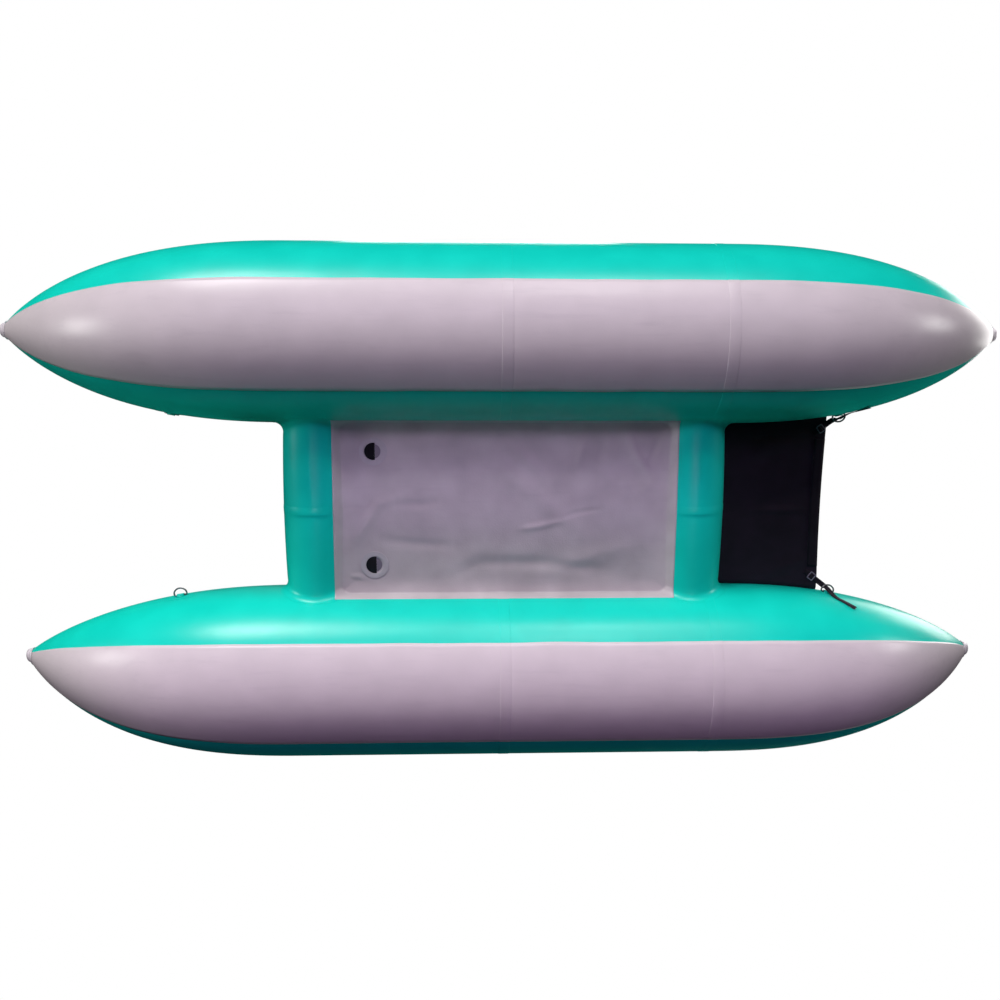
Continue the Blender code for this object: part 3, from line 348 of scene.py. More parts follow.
for name, place, target, size, share, tint, spread in (
        ("strip_port", (0, 1.2, -1.1), (0, TRACK, CENTRE_Z), (2.8, 0.3), 0.43, VIOLET, 180),
        ("strip_starboard", (0, -0.2, -0.9), (0, -TRACK, CENTRE_Z), (2.4, 0.3), 0.058,
         DEEP_VIOLET, 46),
        ("strip_floor", (0, 0.07, -0.9), (0, 0.04, 0.2), (1.1, 0.16), 0.022, VIOLET, 22)):
    lamp = add_lamp(name, place, target, size, share, tint)
    lamp.data.spread = math.radians(spread)
    lamp.visible_glossy = False

net, tree, surface = bare_material("scrim_net")
veil = add_node(tree, "ShaderNodeBsdfTransparent", {"Color": (0.80, 0.80, 0.80, 1.0)})
tree.links.new(veil.outputs[0], surface.inputs["Surface"])
bm = bmesh.new()
bmesh.ops.create_grid(bm, x_segments=1, y_segments=1, size=0.5)
upright = Euler((math.radians(90), 0, 0))
bmesh.ops.transform(bm, matrix=Matrix.LocRotScale((0, 1.1, 0.4), upright, (6, 1.12, 1)),
                    verts=bm.verts)
scrim = add_stage_object("net_scrim", bm, net)
for sight in ("camera", "glossy", "diffuse", "transmission"):
    setattr(scrim, f"visible_{sight}", False)

# The tent's cloth is a dull blue-black, so that it mirrors as a dark room does.
tent_cloth, tree, shader, place = start_material("dark_tent_cloth", Roughness=1.0)
shader.inputs["Base Color"].default_value = colour("121220")
bm = bmesh.new()
bmesh.ops.create_uvsphere(bm, u_segments=48, v_segments=24, radius=TENT_RADIUS)
bmesh.ops.reverse_faces(bm, faces=bm.faces)
tent = add_stage_object("dark_tent", bm, tent_cloth)
for sight in ("camera", "shadow", "diffuse"):
    setattr(tent, f"visible_{sight}", False)
print([lamp.name for lamp in bpy.data.lights])

# %% [markdown]
# ## Coated fabric
#
# The tubes are PVC coated polyester, a smooth plastic skin over a woven cloth. The skin
# is satin to glossy, a little darker or paler from place to place, and the cloth under
# it prints through as a fine grain. Yarns lie about 1 mm apart, finer than a pixel here,
# so the grain is drawn 3.5 mm wide to show at all. Broad soft noise bends the
# reflections as a hand-glued tube does.

# %% Materials of the tubes and strips
GRAIN = 0.0035
DAPPLE = 0.09
DRAG = (3.0, 26.0, 26.0)  # scuffs are long along the craft and narrow across it


def coated_fabric(name, pale, deep, roughness, specular, grain=0.25, scuffs=0.0):
    """PVC coated polyester: calendered skin, cloth grain, faint dapples and grey scuffs."""
    material, tree, shader, place = start_material(name, Specular_IOR_Level=specular)
    dapple = add_noise(tree, place, 1 / DAPPLE, 2.0, 0.45)
    fine = add_noise(tree, place, 1 / GRAIN, 1.0)
    drag = add_node(tree, "ShaderNodeMapping", {"Vector": place, "Scale": DRAG}).outputs[0]
    marks = add_noise(tree, drag, 2.4, 3.0, 0.55)
    tone = blend_colours(tree, dapple, colour(deep), colour(pale))
    worn = add_node(tree, "ShaderNodeMapRange", {
        "Value": marks, "From Min": 0.56, "From Max": 0.78, "To Max": scuffs}).outputs[0]
    skin = blend_colours(tree, worn, tone, colour("8E8690"))
    tree.links.new(skin, shader.inputs["Base Color"])
    drive_gloss(tree, shader, marks, roughness + 0.005, roughness + 0.025, 0.3, 0.75)
    height = add_node(tree, "ShaderNodeMath", {0: dapple, 1: 6.0, 2: fine},
                      operation="MULTIPLY_ADD").outputs[0]
    add_relief(tree, shader, height, grain, 0.0005)
    return material


# A clear, glossy teal; a warm grey that the ground has scuffed; a duller, grainier grey.
teal_fabric = coated_fabric("teal_pvc_fabric", "10D0BA", "04BEAA", 0.28, 0.28)
strip_fabric = coated_fabric("grey_wear_strip", "CDC4C7", "BFB7BA", 0.3, 0.3, scuffs=0.12)
floor_fabric = coated_fabric("grey_floor_fabric", "C9C3C4", "9F989B", 0.33, 0.3, 0.6, 0.1)
print("coated fabrics:", [m.name for m in (teal_fabric, strip_fabric, floor_fabric)])

# %% [markdown]
# ## From bmesh to piece
#
# Every new piece ends the same way: its faces are turned outward, it becomes an object
# at the origin, shades smoothly apart from its real edges, gets its material, rides on
# a CAD body and hides the CAD node that it stands for. Smaller helpers give a sheet its
# thickness, round its edges, spin outlines into turned skins and open round holes.

# %% Helpers that make and finish pieces


def finish_piece(bm, name, material, replaces=(), body="craft", sharp=35.0,
                 outward=None):
    """Turn a bmesh into a named piece; outward is a rough direction for an open sheet."""
    bmesh.ops.remove_doubles(bm, verts=bm.verts, dist=1e-6)
    bmesh.ops.recalc_face_normals(bm, faces=bm.faces)
    if outward is not None:
        lean = sum((face.normal * face.calc_area() for face in bm.faces), Vector())
        if lean.dot(Vector(outward)) < 0:
            bmesh.ops.reverse_faces(bm, faces=bm.faces)
    data = bpy.data.meshes.new(name)
    bm.to_mesh(data)
    bm.free()
    data.shade_smooth()
    data.set_sharp_from_angle(angle=math.radians(sharp))
    data.materials.append(material)
    piece = put_in_scene(name, data)
    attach(piece, body)
    if replaces:
        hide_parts(*replaces)
    print(f"{name}: {len(data.polygons)} faces")
    return piece


def give_wall(piece, thickness, offset):
    """Thicken a sheet; offset is 1 for outward, -1 for inward and 0 for both ways."""
    wall = piece.modifiers.new("thickness", "SOLIDIFY")
    wall.thickness = thickness
    wall.offset = offset


def soften(piece, width, segments=2, angle=40):
    """Round the edges that turn by more than an angle in degrees."""
    rim = piece.modifiers.new("soft edges", "BEVEL")
    rim.width = width
    rim.segments = segments
    rim.limit_method = "ANGLE"
    rim.angle_limit = math.radians(angle)


def spin_profile(profile, axis, steps):
    """Revolve a line of (place along the axis, radius) points about X or Y."""
    bm = bmesh.new()
    way = Vector((axis == "X", axis == "Y", 0))
    verts = [bm.verts.new(way * place + Vector((0, 0, radius))) for place, radius in profile]
    edges = [bm.edges.new(pair) for pair in zip(verts, verts[1:])]
    bmesh.ops.spin(bm, geom=verts + edges, cent=(0, 0, 0), axis=way, angle=math.tau,
                   steps=steps, use_merge=True)
    bmesh.ops.remove_doubles(bm, verts=bm.verts, dist=1e-6)
    return bm


def add_turned(bm, profile, place, steps=48, closed=True):
    """Spin an outline of (radius, height) corners about Z and set it in place."""
    verts = [bm.verts.new((r, 0, z)) for r, z in profile]
    edges = [bm.edges.new(pair) for pair in zip(verts, verts[1:] + verts[:1] * closed)]
    bmesh.ops.spin(bm, geom=verts + edges, cent=(0, 0, 0), axis=(0, 0, 1), angle=math.tau,
                   steps=steps, use_merge=True)
    ring = {v for e in edges for f in e.link_faces for v in f.verts}
    grown = set(ring)
    while ring:
        ring = {v for old in ring for e in old.link_edges for v in e.verts} - grown
        grown |= ring
    bmesh.ops.transform(bm, matrix=place, verts=list(grown))


def shift_extruded(bm, made, shift):
    """Move the corners that an extrusion made, and give them back."""
    corners = [g for g in made["geom"] if isinstance(g, bmesh.types.BMVert)]
    bmesh.ops.translate(bm, vec=shift, verts=corners)
    return corners


def place_on_pontoon(bm, side):
    """Raise a form spun about X by the pontoon's rise, and set it beside the middle."""
    for vert in bm.verts:
        vert.co.z += hull_height(vert.co.x)
        vert.co.y += side * TRACK


def open_round_hole(bm, centre, radius):
    """Remove the faces round a vertical axis and pull the edge left to a true circle."""
    x, y, z = centre

    def reach(point):
        return math.hypot(point.x - x, point.y - y)

    near = [f for f in bm.faces if abs(f.calc_center_median().z - z) < 0.03
            and reach(f.calc_center_median()) < radius]
    bmesh.ops.delete(bm, geom=near, context="FACES")
    for vert in bm.verts:
        if vert.is_boundary and reach(vert.co) < 3 * radius and abs(vert.co.z - z) < 0.03:
            grow = radius / reach(vert.co)
            vert.co.x, vert.co.y = x + (vert.co.x - x) * grow, y + (vert.co.y - y) * grow


# %% [markdown]
# ## Pontoons
#
# A real pontoon is cut from flat panels that are glued round a former, so narrow bands
# where two panels overlap run round it. Spinning one long line of points about the
# pontoon's axis gives the round skin in one step. The bands are a 0.6 mm step in that
# line. The tips are then lifted by the same formula as in the CAD model.

# %% Two pontoons
SEAMS = (0.0275, -0.522)
SEAM_WIDTH = 0.026
SEAM_STEP = 0.0006
SKIN_HOLE = 0.0172
VALVE_X = -0.4


def seam_lift(x):
    """Height of the overlap bands above the skin."""
    return SEAM_STEP * max(
        min(1.0, max(0.0, (SEAM_WIDTH / 2 + 0.0005 - abs(x - seam + SEAM_WIDTH / 2)) / 0.0005))
        for seam in SEAMS)


straight = np.linspace(-STRAIGHT_HALF, STRAIGHT_HALF, 45)
tapered = STRAIGHT_HALF + TAPER_LENGTH * (1 - (1 - np.linspace(0, 1, 46)[1:]) ** 1.7)
edges_of_seams = [seam - share * SEAM_WIDTH + way * 0.0005
                  for seam in SEAMS for share in (0, 1) for way in (-1, 0, 1)]
hull_lines = np.unique(np.round([*straight, *tapered, *-tapered, *edges_of_seams], 5))

for name, side in SIDES.items():
    bm = spin_profile([(x, hull_radius(x) + seam_lift(x)) for x in hull_lines], "X", 96)
    place_on_pontoon(bm, side)
    open_round_hole(bm, (VALVE_X, side * TRACK, CENTRE_Z + PONTOON_RADIUS), SKIN_HOLE)
    finish_piece(bm, f"pontoon_skin_{name}", teal_fabric, [f"pontoon_{name}"],
                 sharp=50)

# %% [markdown]
# ## Wear strips
#
# A thick grey strip is glued along the keel of each pontoon to take the rocks. It is
# cut by hand, so its edge wanders by a millimetre or so, and it follows the overlap
# bands beneath it. A flat grid is bent round the pontoon, and Solidify gives it its
# 1.2 mm, which is simpler and cleaner than cutting a band out of the tube.

# %% Two wear strips
STRIP_THICKNESS = 0.0012
STRIP_END = 1.346
GLUE_LINE = 0.0003
STRIP_HALF_ANGLE, STRIP_FLARE = 35.5, 10.5
HAND_DRIFT = 0.0015


def strip_half_angle(x):
    """Half of the strip's width, in degrees round the pontoon."""
    return STRIP_HALF_ANGLE + STRIP_FLARE * taper(x) ** 2.3


strip_lines = hull_lines[np.abs(hull_lines) < STRIP_END]
for name, side in SIDES.items():
    bm = bmesh.new()
    bmesh.ops.create_grid(bm, x_segments=len(strip_lines) - 1, y_segments=30, size=0.5)
    for vert in bm.verts:
        x = float(np.interp(vert.co.x + 0.5, np.linspace(0, 1, len(strip_lines)), strip_lines))
        share = 2 * vert.co.y
        drift = HAND_DRIFT * noise.noise(Vector((x * 9, 4.0 * side + 3 * round(share), 0.5)))
        angle = share * strip_half_angle(x)
        angle += math.degrees(drift / max(hull_radius(x), 0.03)) * abs(share)
        vert.co = hull_point(side, x, angle, GLUE_LINE + seam_lift(x))
    strip = finish_piece(bm, f"wear_strip_skin_{name}", strip_fabric, [f"wear_strip_{name}"],
                         sharp=50, outward=(0, 0, -1))
    give_wall(strip, STRIP_THICKNESS, 1.0)

# %% [markdown]
# ## Cross tubes
#
# Two short tubes hold the pontoons apart. Each swells a little between its ends, has a
# glued joint round its middle, and flares onto the pontoons in a fillet of some 25 mm.
# A plain tube is spun about Y, with extra rings at both ends, and those rings are then
# moved onto an arc that touches both the tube and the pontoon.

# %% Two cross tubes
FILLET = 0.025
FILLET_RINGS = 8
TUBE_BARREL = 0.004
SKIRT = 0.0005
TUBE_VALVE_Y = 0.1
JOINT_Y, JOINT_HALF, JOINT_RISE = -0.001, 0.010, 0.0009


def pontoon_flank(x, z):
    """Distance from the middle plane to the inner flank of a pontoon."""
    return TRACK - math.sqrt(max(hull_radius(x) ** 2 - (z - hull_height(x)) ** 2, 0.0))


def tube_swell(y):
    """Radius of a cross tube at y, with the raised joint round its middle."""
    joint = JOINT_RISE * max(0.0, 1 - abs(y - JOINT_Y) / JOINT_HALF) ** 0.3
    return TUBE_RADIUS + 0.0005 - TUBE_BARREL * (y / 0.2) ** 2 + joint


def tube_line(tube_x, turn):
    """Places (y, distance from the axis) along one line of a cross tube's skin."""
    end_radius = TUBE_RADIUS - TUBE_BARREL

    def flank(reach):
        return pontoon_flank(tube_x + reach * math.cos(turn), CENTRE_Z + reach * math.sin(turn))

    slope = (flank(end_radius + FILLET) - flank(end_radius)) / FILLET
    leave = flank(end_radius) + FILLET * (slope - math.sqrt(1 + slope ** 2))
    last = math.atan2(1.0, slope)
    arc = []
    for step in range(1, FILLET_RINGS + 1):
        angle = last * step / FILLET_RINGS
        reach = end_radius + FILLET * (1 - math.cos(angle))
        y = leave + FILLET * math.sin(angle)
        arc.append((flank(reach) - SKIRT if step == FILLET_RINGS else y, reach))
    arc.append((flank(arc[-1][1]) + 0.002, arc[-1][1] + 0.0003))
    return leave, arc


# Rings stand closer together at the joint's edges.
tube_lines = np.unique(np.round([
    *np.linspace(-1, 1, 41), -0.048, -0.036, 0.038, 0.048, -0.003, -0.007], 4))
for name, tube_x in TUBE_PLACES.items():
    outer = [1 + (step + 1) / 10 for step in range(FILLET_RINGS + 1)]
    bm = spin_profile(
        [(s, 1.0) for s in [*(-np.array(outer[::-1])), *tube_lines, *outer]], "Y", 96)
    for vert in bm.verts:
        share, turn = vert.co.y, math.atan2(vert.co.z, vert.co.x)
        leave, arc = tube_line(tube_x, turn)
        if abs(share) <= 1.0001:
            y = share * leave
            reach = tube_swell(y) if abs(share) < 0.98 else TUBE_RADIUS - TUBE_BARREL
        else:
            y, reach = arc[round((abs(share) - 1) * 10) - 1]
            y = math.copysign(y, share)
        vert.co = (tube_x + reach * math.cos(turn), y, CENTRE_Z + reach * math.sin(turn))
    open_round_hole(bm, (tube_x, TUBE_VALVE_Y, CENTRE_Z + TUBE_RADIUS), SKIN_HOLE)
    finish_piece(bm, f"cross_tube_skin_{name}", teal_fabric, [f"cross_tube_{name}"],
                 sharp=40)

# %% [markdown]
# ## What the fabric panels lie on
#
# The floor is glued to the undersides of the four tubes and the cargo panel to the
# upper sides of three of them. A search tree of the finished skins answers one
# question for each point of a panel: how high is the tube above or below here?

# %% Height of the tubes over and under a point
PANEL_GLUE = 0.0005  # between a panel and the tube that it lies on

skins = bmesh.new()
for skin in [o for o in bpy.data.objects if "_skin_" in o.name and "strip" not in o.name]:
    skins.from_mesh(skin.data)
tube_tree = BVHTree.FromBMesh(skins)
skins.free()


def tube_height(x, y, upwards, nothing):
    """Height of the first tube met above the ground, or below the sky."""
    start = Vector((x, y, -0.5 if upwards else 1.0))
    hit = tube_tree.ray_cast(start, Vector((0, 0, 1 if upwards else -1)))[0]
    return nothing if hit is None else hit.z


print("under the bow tube:", round(tube_height(0.515, 0.05, True, 1.0), 4))

# %% [markdown]
# ## Floor
#
# The floor is one sheet of coated fabric. It is flat and taut between the tubes, turns
# down where it meets them and ends in a glued flange on their undersides. The photograph
# shows long soft folds in it, and each is a ridge along a short line, drawn from the
# photograph's own creases. A grid with close lines near the edges follows all this.

# %% The floor's lines and folds
FLOOR_UNDER = 0.1941
FLOOR_THICKNESS = 0.0009
FLOOR_X = (-0.4427, -0.4217, -0.3957, 0.4157, 0.4417, 0.4627)
FLOOR_Y = (0.2035, 0.2295, 0.2376)
DRAIN = (0.3585, 0.153)
DRAIN_HOLE = 0.0262
DRAIN_CALM, CALM_FADE = 0.036, 0.02  # no folds this near a drain, and the way to full ones
FLOOR_MIDDLE_X, FLOOR_DIP, FLOOR_SLACK = 0.010, 0.010, 0.0009
FLOOR_BENDS = ((0.390, 0.063), (0.188, 0.050))  # start and length, along and across
FLANGE_WIDTH = 0.026

# Each fold: its line, its half width and how far it stands out below the floor.
FLOOR_FOLDS = (
    (((-0.030, -0.056), (-0.077, -0.049), (-0.141, -0.034)), 0.008, 0.0055),
    (((-0.141, -0.026), (-0.176, -0.013), (-0.243, -0.002)), 0.006, -0.0030),
    (((0.470, 0.000), (0.377, 0.001)), 0.005, -0.0026),
    (((0.418, -0.101), (0.375, -0.035), (0.345, 0.012), (0.297, 0.031)), 0.013, 0.0048),
    (((0.295, 0.010), (0.240, 0.010), (0.186, 0.017)), 0.011, -0.0048),
    (((0.158, -0.185), (0.077, -0.150), (-0.084, -0.150), (-0.301, -0.178)), 0.018, -0.0060),
    (((0.345, -0.085), (0.260, -0.095), (0.150, -0.100)), 0.013, -0.0040),
    (((-0.005, 0.165), (-0.094, 0.088)), 0.013, 0.0040),
    (((-0.199, 0.188), (-0.174, 0.100)), 0.012, 0.0050),
    (((-0.250, 0.185), (-0.235, 0.115)), 0.011, -0.0034),
    (((-0.312, 0.210), (-0.335, 0.143), (-0.388, 0.072)), 0.014, 0.0052),
    (((-0.396, 0.190), (-0.372, 0.120)), 0.009, -0.0036),
    (((-0.349, 0.035), (-0.390, 0.081)), 0.010, 0.0034),
    (((0.425, -0.183), (0.367, -0.189)), 0.006, 0.0034),
    (((0.405, -0.150), (0.385, -0.185)), 0.006, -0.0026),
    (((0.10, 0.190), (0.30, 0.170)), 0.016, 0.0030),
    (((0.060, 0.150), (-0.060, 0.040), (-0.200, -0.070)), 0.024, 0.0040),
    (((-0.05, -0.19), (-0.25, -0.12), (-0.36, -0.10)), 0.022, 0.0034),
)


def fold_height(x, y, folds):
    """Sum of the folds' heights at a point; a fold fades out at both of its ends."""
    here, total = Vector((x, y)), 0.0
    for line, width, height in folds:
        points = [Vector(p) for p in line]
        lengths = [(b - a).length for a, b in zip(points, points[1:])]
        best, along, walked = 1e9, 0.0, 0.0
        for a, b, length in zip(points, points[1:], lengths):
            share = min(max((here - a).dot(b - a) / length ** 2, 0.0), 1.0)
            away = (here - a.lerp(b, share)).length
            if away < best:
                best, along = away, walked + share * length
            walked += length
        if best < 3 * width:
            fade = math.sin(math.pi * min(max(along / sum(lengths), 0.03), 0.97)) ** 0.6
            total += height * fade * math.exp(-(best / width) ** 2)
    return total


def spread_lines(stops, gaps):
    """Grid lines through the stops, with an even number of gaps between each two."""
    rows = [np.linspace(a, b, n, endpoint=False) for a, b, n in zip(stops, stops[1:], gaps)]
    return np.append(np.concatenate(rows), stops[-1])


def bent_grid(x_lines, y_lines, height_at):
    """A grid on given lines, with its height from a function of place."""
    bm = bmesh.new()
    bmesh.ops.create_grid(bm, x_segments=len(x_lines) - 1, y_segments=len(y_lines) - 1, size=0.5)
    for vert in bm.verts:
        x = float(x_lines[round((vert.co.x + 0.5) * (len(x_lines) - 1))])
        y = float(y_lines[round((vert.co.y + 0.5) * (len(y_lines) - 1))])
        vert.co = height_at(x, y)
    return bm


# %% The floor sheet


def floor_point(x, y):
    """A point of the floor: taut and folded in the open, glued where it meets a tube."""
    across = max((abs(y) - FLOOR_Y[0]) / FLANGE_WIDTH, 0.0)
    ahead = max((x - FLOOR_X[3]) / FLANGE_WIDTH, (FLOOR_X[2] - x) / FLANGE_WIDTH, 0.0)
    calm = max(0.0, 1 - across) * max(0.0, 1 - ahead)
    away = min(math.hypot(x - DRAIN[0], y - s * DRAIN[1]) for s in (1, -1))
    calm *= min(1.0, max(0.0, (away - DRAIN_CALM) / CALM_FADE))
    slack = FLOOR_SLACK * noise.noise(Vector((x * 7, y * 9, 0.3)))
    bend = max((away - start) / length for away, (start, length) in zip(
        (abs(x - FLOOR_MIDDLE_X), abs(y)), FLOOR_BENDS))
    free = FLOOR_UNDER - FLOOR_DIP * min(max(bend, 0.0), 1.0) ** 2
    free -= calm * (fold_height(x, y, FLOOR_FOLDS) + slack)
    glued = tube_height(x, y, True, 1.0) - PANEL_GLUE - FLOOR_THICKNESS
    return Vector((x, y, min(free, glued)))


x_lines = spread_lines(FLOOR_X, (6, 10, 150, 10, 6))
y_lines = spread_lines(
    (-FLOOR_Y[2], -FLOOR_Y[1], -FLOOR_Y[0], FLOOR_Y[0], FLOOR_Y[1], FLOOR_Y[2]), (6, 8, 84, 8, 6))
bm = bent_grid(x_lines, y_lines, floor_point)
for side in SIDES.values():
    open_round_hole(bm, (DRAIN[0], side * DRAIN[1], FLOOR_UNDER), DRAIN_HOLE)
floor = finish_piece(bm, "floor_sheet", floor_fabric, ["floor_panel"],
                     sharp=60, outward=(0, 0, -1))
give_wall(floor, FLOOR_THICKNESS, -1.0)

# %% [markdown]
# ## Moulded plastic, rubber, webbing, woven cloth and steel
#
# The small parts are of five more materials. Moulded plastic and rubber have the fine
# spark-eroded grain of their mould, about 0.3 mm, drawn 1.5 mm wide here. Webbing and
# the cargo panel's cloth are woven: two crossed sets of waves make the threads. Real
# yarns of such cloth are 0.5 mm apart, drawn 2.2 mm here so that the weave shows at all.

# %% Materials of the small parts


def moulded(name, code, roughness, specular=0.4, grain=0.0015, tone=0.10):
    """Injection moulded plastic or rubber, with the mould's grain and handling wear."""
    material, tree, shader, place = start_material(name, Specular_IOR_Level=specular)
    wear = add_noise(tree, place, 70.0, 3.0)
    tones = [(*(min(1.0, part * (1 + way * tone)) for part in colour(code)[:3]), 1.0)
             for way in (-1, 1)]
    tree.links.new(blend_colours(tree, wear, *tones), shader.inputs["Base Color"])
    drive_gloss(tree, shader, wear, roughness - 0.06, roughness + 0.06)
    add_relief(tree, shader, add_noise(tree, place, 1 / grain), 0.2, 0.0002)
    return material


def woven(name, dark, light, pitch, roughness, coords="Object", sheen=0.2, specular=0.2):
    """Plain woven cloth: crossed waves raise the threads and darken the gaps."""
    material, tree, shader, place = start_material(
        name, coords, Specular_IOR_Level=specular, Sheen_Weight=sheen, Sheen_Roughness=0.5,
        Sheen_Tint=colour("6A6270"))
    waves = [add_node(tree, "ShaderNodeTexWave", {
        "Vector": place, "Scale": math.tau / (20 * pitch), "Distortion": 0.6, "Detail": 1.0,
        "Detail Scale": 2.0}, bands_direction=way).outputs["Fac"] for way in "XY"]
    threads = add_node(tree, "ShaderNodeMath", {0: waves[0], 1: waves[1]},
                       operation="MAXIMUM").outputs[0]
    broad = add_noise(tree, place, 22.0, 3.0)
    factor = add_node(tree, "ShaderNodeMath", {0: threads, 1: broad}, operation="MULTIPLY")
    tree.links.new(blend_colours(tree, factor.outputs[0], colour(dark), colour(light)),
                   shader.inputs["Base Color"])
    drive_gloss(tree, shader, broad, roughness - 0.08, roughness + 0.08)
    add_relief(tree, shader, threads, 0.35, 0.0004)
    return material


def polished_wire(name, code, roughness):
    """Drawn stainless wire: bright, with faint drawing lines and water marks."""
    material, tree, shader, place = start_material(name, Metallic=1.0)
    marks = add_noise(tree, place, 160.0, 4.0)
    dim = (*(0.8 * part for part in colour(code)[:3]), 1.0)
    tree.links.new(blend_colours(tree, marks, dim, colour(code)), shader.inputs["Base Color"])
    drive_gloss(tree, shader, marks, roughness, roughness + 0.15)
    return material


# Satin greys from pale to deep, a clean white, a dull black rubber, two black weaves that
# show a violet sheen, and a steel darker than bare stainless.
rim_plastic = moulded("grey_pvc_moulding", "B2AFB2", 0.36, 0.3)
# Deep grey: the buckles' own colour, and painted shade on the drains' webs, which sit sunken in
# the drains' mouths.
deep_grey_and_shade_plastic = moulded("deep_grey_pvc_and_painted_shade", "7C7682", 0.42, 0.3)
cap_plastic = moulded("light_grey_pvc_moulding", "CFC8CE", 0.38, 0.35)
dark_plastic = moulded("grey_acetal", "4A464C", 0.42)
white_plastic = moulded("white_acetal", "D8D6D2", 0.4)
rubber = moulded("black_rubber", "15131A", 0.55, 0.3)
cargo_cloth = woven("black_polyester_cloth", "17111B", "2E2332", 0.0022, 0.72)
webbing = woven("black_polyester_webbing", "120E15", "2A222E", 0.0022, 0.75, coords="UV")
steel = polished_wire("stainless_wire", "8E8A92", 0.22)
print("materials:", len(bpy.data.materials))

# %% [markdown]
# ## Cargo panel
#
# Behind the stern tube a woven black panel is stretched between the pontoons. It wraps
# a little way up over them and over the tube. Its side edges follow the pontoons as
# these taper, so the grid's lines are placed by the pontoon's own shape, and the search
# tree lifts the edges onto the skins. Its free edge draws in a few millimetres in the
# middle, as taut cloth does.

# %% The cargo panel's sheet
CARGO_Z = 0.26
CARGO_THICKNESS = 0.0011
CARGO_X = (-0.8632, -0.5845, -0.5745, -0.5624)
CARGO_SHARES = (0.0, 0.86, 0.92, 1.0)
CARGO_LAP, CARGO_DRAW, CARGO_RISE = 0.025, 0.004, 0.004
DRAWN_HALF = 0.2
CARGO_FOLDS = (
    (((-0.640, 0.178), (-0.850, 0.180)), 0.006, -0.0036),
    (((-0.660, -0.020), (-0.830, -0.018)), 0.008, 0.0034),
    (((-0.700, -0.205), (-0.835, -0.150)), 0.016, 0.0036),
    (((-0.600, 0.080), (-0.700, 0.150), (-0.830, 0.200)), 0.018, 0.0036),
)


def cargo_side(x):
    """Places across the panel at x: end of the flat, the skin, and the glued edge."""
    radius, height = hull_radius(x), hull_height(x)
    leave = math.acos(min(max((height - CARGO_Z - CARGO_RISE) / radius, -1.0), 1.0))
    edge = leave + CARGO_LAP / radius
    skin = TRACK - radius * math.sin(leave)
    return skin - 0.01, skin, TRACK - radius * math.sin(edge)


def drawn_in(y):
    """How far a free edge is drawn in at y, as a share: 1 in the middle, 0 at the ends."""
    return max(0.0, 1 - (y / DRAWN_HALF) ** 2)


def cargo_point(x, share):
    """A point of the cargo panel; share goes from -1 to 1 between its glued edges."""
    places = cargo_side(x)
    y = math.copysign(float(np.interp(abs(share), CARGO_SHARES, (0.0, *places))), share)
    if x == CARGO_X[0]:
        x += CARGO_DRAW * drawn_in(y)
    rise = max((abs(y) - places[0]) / 0.01, (x - CARGO_X[1]) / 0.01, 0.0)
    calm = max(0.0, 1 - rise)
    free = CARGO_Z + CARGO_RISE * min(rise, 1.6)
    free -= calm * fold_height(x, y, CARGO_FOLDS) * min(1.0, (x - CARGO_X[0]) / 0.03)
    return Vector((x, y, max(free, tube_height(x, y, False, 0.0) + PANEL_GLUE)))


x_lines = spread_lines(CARGO_X, (60, 5, 5))
shares = spread_lines(
    [-s for s in CARGO_SHARES[:0:-1]] + list(CARGO_SHARES), (6, 5, 32, 32, 5, 6))
bm = bent_grid(x_lines, shares, cargo_point)
cargo = finish_piece(bm, "cargo_sheet", cargo_cloth, ["cargo_panel"],
                     sharp=60, outward=(0, 0, 1))
give_wall(cargo, CARGO_THICKNESS, 1.0)

# %% [markdown]
# ## Webbing
#
# The free edge of the cargo panel is bound with flat webbing, and a strap leads from
# each corner through a small buckle to the stern D-ring. A ribbon helper runs a narrow
# grid along a smooth line of stops. Each stop says where the strap's middle is and
# which way its width lies, so the strap can twist as it turns through the ring. The
# helper also lays a UV map in metres, which keeps the weave square to the webbing.

# %% Ribbons


def smooth_stops(stops, steps):
    """Points on a curve through the stops (Catmull-Rom), the same for each vector."""
    padded_stops = [stops[0], *stops, stops[-1]]
    line = []
    for a, b, c, d in zip(*(padded_stops[k:] for k in range(4))):
        for step in range(steps):
            t = step / steps
            line.append(0.5 * (2 * b + (c - a) * t + (2 * a - 5 * b + 4 * c - d) * t * t
                               + (3 * b - a - 3 * c + d) * t ** 3))
    return [*line, stops[-1]]


def add_ribbon(name, centres, widths, width, thickness, material, replaces, faces_up):
    """A flat band along a line of centres, its width lying along its own list of ways."""
    rows = len(centres) - 1
    walked = np.cumsum([0.0] + [(b - a).length for a, b in zip(centres, centres[1:])])
    bm = bmesh.new()
    bmesh.ops.create_grid(bm, x_segments=rows, y_segments=4, size=0.5)
    layer = bm.loops.layers.uv.new("weave")
    for face in bm.faces:
        for loop in face.loops:
            row = round((loop.vert.co.x + 0.5) * rows)
            loop[layer].uv = (walked[row], loop.vert.co.y * width)
    for vert in bm.verts:
        row, across = round((vert.co.x + 0.5) * rows), vert.co.y
        vert.co = centres[row] + widths[row].normalized() * across * width
    ribbon = finish_piece(bm, name, material, replaces, sharp=60, outward=faces_up)
    give_wall(ribbon, thickness, 0.0)
    return ribbon


HEM_WIDTH = 0.029
HEM_LENGTH = 0.356
HEM_X, HEM_DRAW = -0.8485, 0.0035
HEM_Z = CARGO_Z - 0.0010
hem_rows = [Vector((HEM_X + HEM_DRAW * drawn_in(y), y, HEM_Z))
            for y in np.linspace(-HEM_LENGTH / 2, HEM_LENGTH / 2, 61)]
hem = add_ribbon("cargo_hem_webbing", hem_rows, [Vector((1, 0, 0))] * len(hem_rows),
                 HEM_WIDTH, 0.0014, webbing, ["cargo_hem"], (0, 0, -1))

# %% The straps to the stern D-rings
STRAP_WIDTH = 0.0148
LAP = (0.61, 0.79, 0.0)  # the strap's width while it lies on the panel

